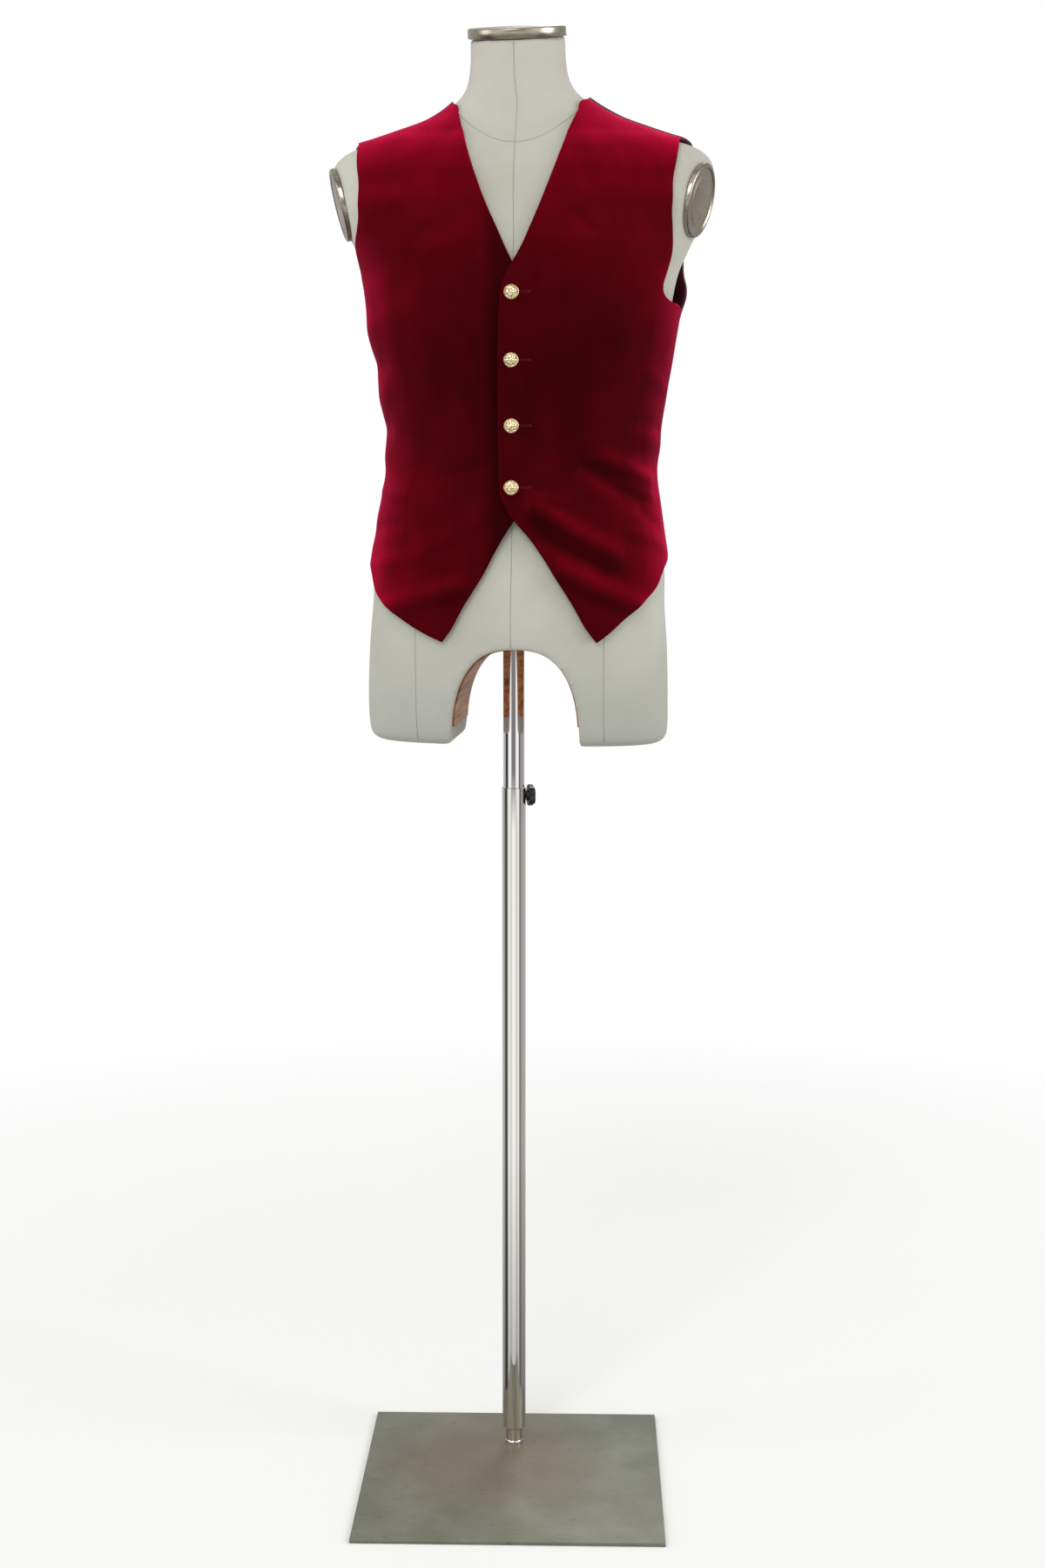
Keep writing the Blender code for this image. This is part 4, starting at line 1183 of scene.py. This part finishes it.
def tunnel_knife():
    x, z = arch(0.0, np.linspace(0, 2 * math.pi, tunnel_points, endpoint=False))
    rings = [np.stack((x, np.full(tunnel_points, y), z), axis=-1) for y in (-knife_reach, knife_reach)]
    ends = [np.broadcast_to(ring.mean(axis=0), ring.shape) for ring in rings]
    return skin("knife", [ends[0], rings[0], rings[1], ends[1]], None)


def form_cover():
    heights = np.linspace(form_sections[0, 0], form_sections[-1, 0], cover_rows)
    turns = np.linspace(-math.pi, math.pi, cover_columns, endpoint=False)
    rings = form_point(turns[None, :], heights[:, None])
    ends = [np.broadcast_to(rings[i].mean(axis=0), rings[i].shape)[None] for i in (0, -1)]
    body = skin("form_cover", np.concatenate((ends[0], rings, ends[1])), jersey)
    cut(body, tunnel_knife())
    cut_bore(body)
    for side in (1, -1):
        width, height, depth = shoulder_block
        cut(body, add_object("knife", block_mesh("knife", (
            shoulder_plane(side) @ Matrix.Translation((0, 0, depth / 2))
            @ Matrix.Diagonal((width, height, depth, 1))
        ))))
    remesh = body.modifiers.new("even_mesh", "REMESH")
    remesh.mode = "VOXEL"
    remesh.voxel_size = cover_voxel
    relax = body.modifiers.new("round_edges", "SMOOTH")
    relax.factor = 0.5
    relax.iterations = cover_smoothing
    apply_modifiers(body)
    body.data.shade_smooth()
    if not body.data.materials:
        body.data.materials.append(jersey)
    settle(body, "form", "form_cover", "form_body")
    return body


cover = form_cover()
print("cover:", len(cover.data.polygons), "faces")

# %% [markdown]
# A seam is a thin cord that lies half in the surface. It starts and ends under the edge of
# whatever covers it.

# %% Seams of the cover
seam_radius = 0.00035
neck_seam_back = 1.600
neck_seam_drop = 0.062
neck_seam_power = 4.5
thigh_seams = (-0.110, 0.1045)
thigh_seam_top = 1.10
long_seam_steps = 160
thigh_seam_steps = 60


def form_seam(name, angles, heights):
    return cord(name, form_point(angles, heights), form_normal(angles, heights), seam_radius, seam_finish)


arch_top = form_sections[0, 0] + tunnel_height + 0.001
upward = np.linspace(arch_top, form_sections[-1, 0] - 0.001, long_seam_steps)
around = np.linspace(-math.pi, math.pi, 181)
seams = [
    form_seam("center_front", np.zeros(long_seam_steps), upward),
    form_seam("center_back", np.full(long_seam_steps, math.pi - 1e-4), upward),
    form_seam(
        "neck_base", around,
        neck_seam_back - neck_seam_drop * ((1 + np.cos(around)) / 2) ** neck_seam_power,
    ),
]
for x in thigh_seams:
    thigh_heights = np.linspace(form_sections[0, 0] + 0.006, thigh_seam_top, thigh_seam_steps)
    thigh_angles = np.array([angle_at(x, height) for height in thigh_heights])
    seams.append(form_seam("thigh", thigh_angles, thigh_heights))
form_seams = joined("cover_seams", seams)
settle(form_seams, "form", "form_cover")
print("seams of the cover:", len(seams))

# %% [markdown]
# The metal parts are chromed tube, brushed steel caps, a turned stud and a worn plate. Chrome is
# nearly a mirror with fine scratches along the tube, from sliding it in and out. The caps are
# brushed, so their gloss is drawn out round them, and warm, because they are nickelled.

# %% Metals
# Patches in a metre along x, y and z, and what that makes each one
tube_scratches = (900.0, 900.0, 12.0)  # 1.1 mm across and 83 mm along
brush_lines = (40.0, 40.0, 2600.0)  # 25 mm round and 0.4 mm apart
plate_clouds = 11.0  # 91 mm
rust_patches = 42.0  # 24 mm
plate_specks = (55.0, 190.0, 1.0)  # 18 mm by 5 mm
plate_scratches = (9.0, 800.0, 1.0)  # 111 mm by 1.3 mm
bloom_center = (-0.025, -0.060, 0.004)
bloom_radius = 0.165


def chromed_steel(name, tone, roughness):
    return mottled_finish(
        name, {"Scale": 1.0, "Detail": 2.0}, None, {"Base Color": linear(tone), "Metallic": 1.0},
        stretch=tube_scratches, relief=(0.01, 0.0001), dull=(roughness * 0.6, roughness * 1.7),
    )


def brushed_nickel():
    return mottled_finish(
        "brushed_nickel", {"Scale": 1.0, "Detail": 3.0}, ((0.30, "#958a7a"), (0.70, "#b9b0a1")),
        {"Metallic": 1.0, "Roughness": 0.27, "Anisotropic": 0.4},
        stretch=brush_lines, relief=(0.03, 0.00005),
    )


def worn_plate_steel():
    """Nickelled steel plate, dull and olive, with a rusty bloom round the stud and dark specks."""
    finish, tree, shader, place = new_finish("worn_plate_steel")
    clouds = add_node(
        tree, "ShaderNodeTexNoise", {"Scale": plate_clouds, "Detail": 7.0, "Roughness": 0.6},
        {"Vector": place},
    )
    metal = add_node(tree, "ShaderNodeValToRGB", links={"Fac": clouds.outputs["Fac"]})
    set_ramp(metal, [(0.30, linear("#6b6b5b")), (0.50, linear("#78796a")), (0.70, linear("#86877a"))])
    centered = add_node(
        tree, "ShaderNodeVectorMath", {"operation": "SUBTRACT", 1: bloom_center}, {0: place}
    )
    distance = add_node(tree, "ShaderNodeVectorMath", {"operation": "LENGTH"}, {0: centered.outputs[0]})
    near = add_node(
        tree, "ShaderNodeMapRange",
        {"From Min": 0.0, "From Max": bloom_radius, "To Min": 0.85, "To Max": 0.0},
        {"Value": distance.outputs["Value"]},
    )
    patchy = add_node(
        tree, "ShaderNodeTexNoise", {"Scale": rust_patches, "Detail": 7.0, "Roughness": 0.7},
        {"Vector": place},
    )
    bloom = add_node(
        tree, "ShaderNodeMath", {"operation": "MULTIPLY"},
        {0: near.outputs["Result"], 1: patchy.outputs["Fac"]},
    )
    rusted = add_node(
        tree, "ShaderNodeMix", {"data_type": "RGBA", 7: linear("#7c4e38")},
        {0: bloom.outputs[0], 6: metal.outputs["Color"]},
    )
    drawn_out = add_node(tree, "ShaderNodeMapping", {"Scale": plate_specks}, {"Vector": place})
    specks = add_node(
        tree, "ShaderNodeTexNoise", {"Scale": 1.0, "Detail": 4.0, "Roughness": 0.75},
        {"Vector": drawn_out.outputs["Vector"]},
    )
    speck_mask = add_node(
        tree, "ShaderNodeMapRange", {"From Min": 0.60, "From Max": 0.72, "To Max": 0.80},
        {"Value": specks.outputs["Fac"]},
    )
    specked = add_node(
        tree, "ShaderNodeMix", {"data_type": "RGBA", 7: linear("#3d2f27")},
        {0: speck_mask.outputs["Result"], 6: rusted.outputs[2]},
    )
    stretched = add_node(
        tree, "ShaderNodeMapping", {"Scale": plate_scratches, "Rotation": (0, 0, 0.06)},
        {"Vector": place},
    )
    scratches = add_node(
        tree, "ShaderNodeTexNoise", {"Scale": 1.0, "Detail": 2.0}, {"Vector": stretched.outputs["Vector"]}
    )
    bump = add_node(
        tree, "ShaderNodeBump", {"Strength": 0.08, "Distance": 0.0001},
        {"Height": scratches.outputs["Fac"]},
    )
    dull = add_node(
        tree, "ShaderNodeMapRange", {"To Min": 0.36, "To Max": 0.58}, {"Value": clouds.outputs["Fac"]}
    )
    set_node(
        tree, shader,
        {"Metallic": 0.5},
        {
            "Base Color": specked.outputs[2],
            "Roughness": dull.outputs["Result"],
            "Normal": bump.outputs["Normal"],
        },
    )
    return finish


chrome = chromed_steel("chromed_tube", "#e6e2e4", 0.02)
worn_chrome = chromed_steel("rubbed_chromed_tube", "#e0ded9", 0.03)
nickel = brushed_nickel()
plate_steel = worn_plate_steel()
print("metals:", chrome.name, worn_chrome.name, nickel.name, plate_steel.name)

# %% [markdown]
# The stand: a 350 mm plate of 4 mm steel, a stud with a tapered plug, a 28 mm tube, and a 25 mm
# tube that slides in it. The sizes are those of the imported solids.

# %% Plate, stud and tubes
plate_side = 0.350
plate_thickness = 0.004
plate_forward = 0.0925
plate_turn = math.radians(3.3)
touch_gap = 0.0003
outer_tube_radius = 0.0140
outer_tube_wall = 0.0011
outer_tube_foot = 0.024
outer_tube_top = 0.811
inner_tube_radius = 0.0125
inner_tube_wall = 0.0015
inner_tube_foot = 0.430
inner_tube_top = 1.280


def plate():
    mesh = block_mesh("steel_plate", Matrix.Diagonal((plate_side, plate_side, plate_thickness, 1)))
    piece = add_object("steel_plate", mesh, plate_steel)
    corner_roll = piece.modifiers.new("ground_edge", "BEVEL")
    corner_roll.width = 0.0007
    corner_roll.segments = 3
    apply_modifiers(piece)
    piece.data.transform(
        Matrix.Rotation(plate_turn, 4, "Z") @ Matrix.Translation((0, -plate_forward, plate_thickness / 2))
    )
    piece.data.shade_smooth()
    piece.data.set_sharp_from_angle(angle=math.radians(50))
    return piece


def tube_profile(radius, wall, foot, top, corner=0.0003):
    """The closed profile of a tube's wall, with its outer corners taken off."""
    inside = radius - wall
    return (
        (inside, foot), (radius - corner, foot), (radius, foot + corner), (radius, top - corner),
        (radius - corner, top), (inside + corner, top), (inside, top - corner), (inside, foot),
    )


steel_plate = plate()
settle(steel_plate, "stand", "plate", "base_plate")
stud_foot = plate_thickness + touch_gap
stud_profile = (
    (0.0, outer_tube_foot + 0.035), (0.0124, outer_tube_foot + 0.035), (0.0124, outer_tube_foot - 0.0004),
    (0.0120, outer_tube_foot - 0.0010), (0.0107, outer_tube_foot - 0.0020),
    (0.0103, outer_tube_foot - 0.0030), (0.0103, stud_foot + 0.0030), (0.0108, stud_foot + 0.0024),
    (0.0112, stud_foot + 0.0012), (0.0112, stud_foot), (0.0, stud_foot),
)
stud = turned("turned_stud", stud_profile, worn_chrome)
settle(stud, "stand", "bright_steel", "foot_stud")
lower_tube = turned(
    "lower_tube", tube_profile(outer_tube_radius, outer_tube_wall, outer_tube_foot, outer_tube_top),
    worn_chrome,
)
settle(lower_tube, "stand", "chrome", "outer_tube")
upper_tube = turned(
    "upper_tube", tube_profile(inner_tube_radius, inner_tube_wall, inner_tube_foot, inner_tube_top), chrome
)
settle(upper_tube, "mast", "chrome", "inner_tube")
print("stand pieces:", steel_plate.name, stud.name, lower_tube.name, upper_tube.name)

# %% [markdown]
# The knob is moulded in black plastic, with five soft lobes for the fingers. Its screw goes
# through the lower tube. The mould leaves a fine, even texture.

# %% Clamp knob
knob_height = 0.801
knob_turn = math.radians(18)
knob_radius = 0.0122
knob_lobe = 0.0009
knob_lobes = 5
screw_radius = 0.0030
plastic_grains = 1500.0  # 0.7 mm, coarser than the real one


def moulded_plastic():
    return mottled_finish(
        "moulded_plastic", {"Scale": plastic_grains, "Detail": 2.0}, ((0.3, "#08080a"), (0.7, "#121214")),
        {"Roughness": 0.36}, relief=(0.1, 0.0001),
    )


def lobed_knob():
    tip = inner_tube_radius + touch_gap
    hub = outer_tube_radius + 0.0008
    head = hub + 0.0020
    # reach along the screw, radius, share of the lobes
    stops = (
        (tip, 0.0, 0.0), (tip, screw_radius - 0.0004, 0.0), (tip + 0.0004, screw_radius, 0.0),
        (hub, screw_radius, 0.0), (hub, 0.0058, 0.0), (hub + 0.0003, 0.0061, 0.0), (head, 0.0068, 0.0),
        (head, knob_radius - 0.0018, 0.6), (head + 0.0005, knob_radius - 0.0006, 0.9),
        (head + 0.0012, knob_radius, 1.0), (head + 0.0058, knob_radius, 1.0),
        (head + 0.0068, knob_radius - 0.0006, 0.95), (head + 0.0074, knob_radius - 0.0020, 0.8),
        (head + 0.0078, knob_radius - 0.0045, 0.4), (head + 0.0080, knob_radius - 0.0065, 0.1),
        (head + 0.0080, 0.0, 0.0),
    )
    turns = np.linspace(0, 2 * math.pi, 120, endpoint=False)
    rings = []
    for reach, radius, lobed in stops:
        edge_radius = radius + lobed * knob_lobe * np.cos(knob_lobes * turns)
        rings.append(np.stack(
            (np.full(120, reach), edge_radius * np.cos(turns), edge_radius * np.sin(turns)), axis=-1
        ))
    piece = skin("lobed_knob", rings, moulded_plastic())
    piece.data.transform(Matrix.Translation((0, 0, knob_height)) @ Matrix.Rotation(knob_turn, 4, "Z"))
    return piece


knob = lobed_knob()
settle(knob, "knob", "knob", "clamp_knob")
print("knob:", len(knob.data.polygons), "faces")

# %% [markdown]
# The neck ends in a round cap with a rim, and each shoulder in a stepped oval cap that is a few
# millimetres thick. They are spun from steel sheet.

# %% Caps
neck_cap_radius = 0.0565
neck_cap_height = 0.0115
cap_half_width = 0.0345
cap_half_height = 0.0415


def neck_cap():
    top = neck_cap_height
    radius = neck_cap_radius
    profile = (
        (0.0, top - 0.0002), (radius - 0.0075, top - 0.0002), (radius - 0.0060, top),
        (radius - 0.0030, top), (radius - 0.0012, top - 0.0003), (radius - 0.0003, top - 0.0010),
        (radius, top - 0.0020), (radius, 0.0010), (radius - 0.0004, 0.0003), (radius - 0.0010, 0.0),
        (0.0, 0.0),
    )
    height, _, front, back, _, sway, tilt = form_sections[-1]
    nod = neck_nods[-1, 1]
    center_y = (back - front) / 2
    out = Vector((-tilt, -nod, 1)).normalized()
    middle = Vector((sway, center_y, height + nod * center_y)) + out * touch_gap
    place = Matrix.Translation(middle) @ out.to_track_quat("Z", "Y").to_matrix().to_4x4()
    return turned("spun_neck_cap", profile, nickel, place)


def shoulder_cap(name, side):
    profile = (
        (0.0, 0.0054), (0.20, 0.0054), (0.60, 0.0051), (0.66, 0.0048), (0.70, 0.0040), (0.74, 0.0038),
        (0.83, 0.0038), (0.86, 0.0044), (0.885, 0.0052), (0.91, 0.0054), (0.95, 0.0053),
        (0.98, 0.0048), (1.0, 0.0038), (1.0, 0.0), (0.0, 0.0),
    )
    place = shoulder_plane(side) @ Matrix.Translation((0, 0, touch_gap))
    return turned(name, profile, nickel, place, 96, cap_half_width, cap_half_height)


top_cap = neck_cap()
settle(top_cap, "form", "cap_metal", "neck_cap")
for side_name, side in (("left", 1), ("right", -1)):
    cap = shoulder_cap("spun_cap_" + side_name, side)
    settle(cap, "form", "cap_metal", "shoulder_cap_" + side_name)
print("caps: 3")

# %% [markdown]
# Between the thighs, the shell's inside is closed by an arched board, varnished to a warm tan.
# The grain runs from front to back. Small nails hold it near its ends.

# %% Arched board
lining_thickness = 0.0015
lining_half_depth = 0.074
board_grain = (160.0, 9.0, 160.0)  # 6 mm wide and 111 mm long, from front to back
nail_radius = 0.0016
board_end = math.radians(7.5)
board_rows = 81
board_columns = 25
nail_turns = (25, 155)
nail_depths = (-0.066, 0.066)


def varnished_board():
    return mottled_finish(
        "varnished_board", {"Scale": 1.0, "Detail": 5.0, "Distortion": 0.4},
        ((0.30, "#7c3f14"), (0.50, "#a8652a"), (0.72, "#c98840")), {"Roughness": 0.45},
        stretch=board_grain, relief=(0.2, 0.0002),
    )


def arched_board():
    inset = touch_gap * 2 + lining_thickness / 2
    x, z = arch(inset, np.linspace(board_end, math.pi - board_end, board_rows))
    depths = np.linspace(-lining_half_depth, lining_half_depth, board_columns)
    points = np.stack(np.broadcast_arrays(x[:, None], depths[None], z[:, None]), axis=-1)
    board = add_object("arched_board", grid_mesh("arched_board", points), varnished_board())
    wall = board.modifiers.new("wall", "SOLIDIFY")
    wall.thickness = lining_thickness
    wall.offset = 0.0
    apply_modifiers(board)
    cut_bore(board)
    board.data.shade_smooth()
    board.data.set_sharp_from_angle(angle=math.radians(50))
    return board


def nail(turn, y):
    """A small domed nail head on the board's inside."""
    inset = touch_gap * 2 + lining_thickness
    x, z = arch(inset, np.array(turn))
    inwards = Vector((-math.cos(turn) / tunnel_half_width, 0, -math.sin(turn) / tunnel_height)).normalized()
    place = Matrix.Translation((float(x), y, float(z)))
    place = place @ inwards.to_track_quat("Z", "Y").to_matrix().to_4x4()
    profile = (
        (0.0, nail_radius * 0.5), (nail_radius * 0.6, nail_radius * 0.4), (nail_radius, 0.0),
        (nail_radius, -0.0005), (0.0, -0.0005),
    )
    return turned("nail", profile, worn_chrome, place, 20)


board = arched_board()
settle(board, "form", "board", "tunnel_lining")
nails = [nail(math.radians(turn), y) for turn in nail_turns for y in nail_depths]
board_nails = joined("board_nails", nails)
settle(board_nails, "form", "bright_steel")
print("board:", len(board.data.polygons), "faces and", len(nails), "nails")

# %% [markdown]
# The buttons are stamped from brass and gilt. Each has a roped rim, and on its dome a rosette of
# eight petals round a small boss, which is a plain, common pattern. The relief is a formula on
# the dome's polar grid.

# %% Buttons
button_radius = 0.0083
button_heights = (1.3727, 1.3007, 1.2292, 1.1580)
button_seat = 0.0005
gilt_patches = 620.0  # 1.6 mm
dome_rise = 0.0046
dome_spread = 1.06
rim_start = 0.72
rim_level = 0.0016
# rise in metres, and middle and half width as shares of the button's radius
petal_relief = (0.00045, 0.44, 0.17)
boss_relief = (0.00050, 0.0, 0.13)
ring_relief = (0.00030, 0.70, 0.030)
groove_relief = (-0.00045, 0.78, 0.035)
rope_relief = (0.00095, 0.90, 0.075)


def gilt_brass():
    return mottled_finish(
        "gilt_brass", {"Scale": gilt_patches, "Detail": 3.0},
        ((0.36, "#a08752"), (0.48, "#e6d3a2"), (0.62, "#fdf6de")), {"Metallic": 1.0}, dull=(0.16, 0.34),
    )


def outside(x, height, out=0.0):
    """A point on the outside of the front that laps over, x from the closing's middle."""
    angle = angle_at(x, height)
    return Vector(cloth_point(angle, height, closing_lift(angle, height) + cloth_thickness + out))


def button_place(height):
    """Where a button rests: on the highest point of the cloth under its rim."""
    across = outside(button_radius, height) - outside(-button_radius, height)
    upwards = outside(0.0, height + button_radius) - outside(0.0, height - button_radius)
    normal = across.cross(upwards).normalized()
    upwards = upwards.normalized()
    center = outside(0.0, height)
    turns = [2 * math.pi * i / 12 for i in range(12)]
    rim = [outside(button_radius * math.sin(t), height + button_radius * math.cos(t)) for t in turns]
    highest = max((point - center).dot(normal) for point in rim + [center])
    rotation = Matrix((upwards.cross(normal), upwards, normal)).transposed().to_4x4()
    return Matrix.Translation(center + normal * (highest + button_seat)) @ rotation


def swell(share, rise, middle, half_width):
    """A soft round ridge on the button's face."""
    return rise * np.exp(-(((share - middle) / half_width) ** 2))


def button_dome():
    """Rings of the button's face, from its middle to its rim, and its plain back."""
    shares = np.concatenate((np.linspace(0, 0.74, 30), np.linspace(0.75, 1.0, 16)))
    turns = np.linspace(0, 2 * math.pi, 160, endpoint=False)
    share, turn = np.meshgrid(shares, turns, indexing="ij")
    dome = dome_rise * np.sqrt(np.maximum(1 - (share / dome_spread) ** 2, 0)) - 0.0004
    petals = swell(share, *petal_relief) * np.abs(np.cos(4 * turn)) ** 0.7
    rope = swell(share, *rope_relief) * (0.72 + 0.28 * np.cos(28 * turn + 9 * share))
    plain_rings = sum(swell(share, *relief) for relief in (boss_relief, ring_relief, groove_relief))
    level = np.where(share > rim_start, np.maximum(dome, rim_level), dome) + petals + plain_rings + rope
    radius = share * button_radius
    face = np.stack((radius * np.cos(turn), radius * np.sin(turn), level), axis=-1)
    back = [
        np.stack((r * np.cos(turns), r * np.sin(turns), np.full(160, z)), axis=-1)
        for r, z in ((button_radius, 0.0010), (0.0078, 0.0002), (0.0070, 0.0), (0.0, 0.0))
    ]
    return np.concatenate((face, back))


gilt = gilt_brass()
for number, height in enumerate(button_heights, start=1):
    gilt_button = skin("gilt_button_%d" % number, button_dome(), gilt, 60.0)
    gilt_button.data.transform(button_place(height))
    settle(gilt_button, "form", "button_metal", "button_%d" % number)
print("buttons:", len(button_heights), "faces each", len(gilt_button.data.polygons))

# %% [markdown]
# The buttonholes are worked by hand: close stitches of a thick crimson silk stand side by side
# round a slit, and the button sits at its outer end. Each button is sewn on with a short shank.

# %% Buttonholes and shanks
hole_start = -0.0010
hole_end = 0.0190
stitch_reach = 0.0013
stitch_pitch = 0.00058
silk_radius = 0.00024
slit_radius = 0.00022
silk_twists = 1300.0  # 0.8 mm
end_stitches = 7


def sewing_silk(name, low, high):
    return mottled_finish(
        name, {"Scale": silk_twists}, ((0.3, low), (0.7, high)),
        {"Roughness": 0.6, "Specular IOR Level": 0.15},
    )


silk = sewing_silk("crimson_silk", "#4a0410", "#6c0f1e")
# The slit is a near-black cord, painted shade in the cut of each buttonhole.
slit_shade_finish = sewing_silk("slit_shadow", "#14000a", "#22000c")


def thread(points, radius, finish):
    """A short thread over given points, seen from the front."""
    path = np.array([tuple(point) for point in points])
    outward = np.tile((0.0, -1.0, 0.0), (len(path), 1))
    return cord("thread", path, outward, radius, finish, 6)


def buttonhole(number, height):
    stitches = []
    count = round((hole_end - hole_start) / stitch_pitch)
    for i in range(count + 1):
        x = hole_start + (hole_end - hole_start) * i / count
        for way in (1, -1):
            reach = stitch_reach * (1 + 0.06 * math.sin(7.0 * i + way))
            stitches.append(thread((
                outside(x, height + way * 0.00020, -0.0002), outside(x, height + way * 0.00045, 0.00040),
                outside(x, height + way * reach * 0.6, 0.00030), outside(x, height + way * reach, -0.0002),
            ), silk_radius, silk))
    for i in range(end_stitches):
        turn = math.radians(-60 + 20 * i)
        stitches.append(thread((
            outside(hole_end + 0.0004 * math.cos(turn), height + 0.0004 * math.sin(turn), -0.0002),
            outside(hole_end + 0.0009 * math.cos(turn), height + 0.0009 * math.sin(turn), 0.00040),
            outside(hole_end + 0.0020 * math.cos(turn), height + 0.0020 * math.sin(turn), -0.0002),
        ), silk_radius, silk))
    return joined("worked_buttonhole_%d" % number, stitches)


def slit(number, height):
    steps = np.linspace(hole_start, hole_end, 12)
    return joined("slit_%d" % number, [thread(
        [outside(x, height, -0.00005) for x in steps], slit_radius, slit_shade_finish
    )])


for number, height in enumerate(button_heights, start=1):
    settle(buttonhole(number, height), "form", "velvet")
    settle(slit(number, height), "form", "velvet")
    place = button_place(height)
    shank = turned(
        "sewn_shank_%d" % number, ((0.0, 0.0001), (0.0012, 0.0001), (0.0013, -0.0022), (0.0, -0.0022)),
        silk, place, 24,
    )
    settle(shank, "form", "velvet")
print("worked buttonholes:", len(button_heights))

# %% [markdown]
# Each front and each half of the back was cut flat and then draped on the form. Its flat size is
# the widest and the longest way over its cloth, and its area is the cloth's own.

# %% Cut sizes of the cloth
cloth_cuts = (
    (front_left, (0.270, 0.650), 0.121, [
        name % number for number in range(1, 5) for name in ("worked_buttonhole_%d", "slit_%d")
    ]),
    (front_right, (0.267, 0.645), 0.124, []),
    (back_left, (0.240, 0.530), 0.114, []),
    (back_right, (0.240, 0.530), 0.112, []),
)
for piece, flat, area, sewn_on in cloth_cuts:
    print(piece.name, "cut", flat, "m")
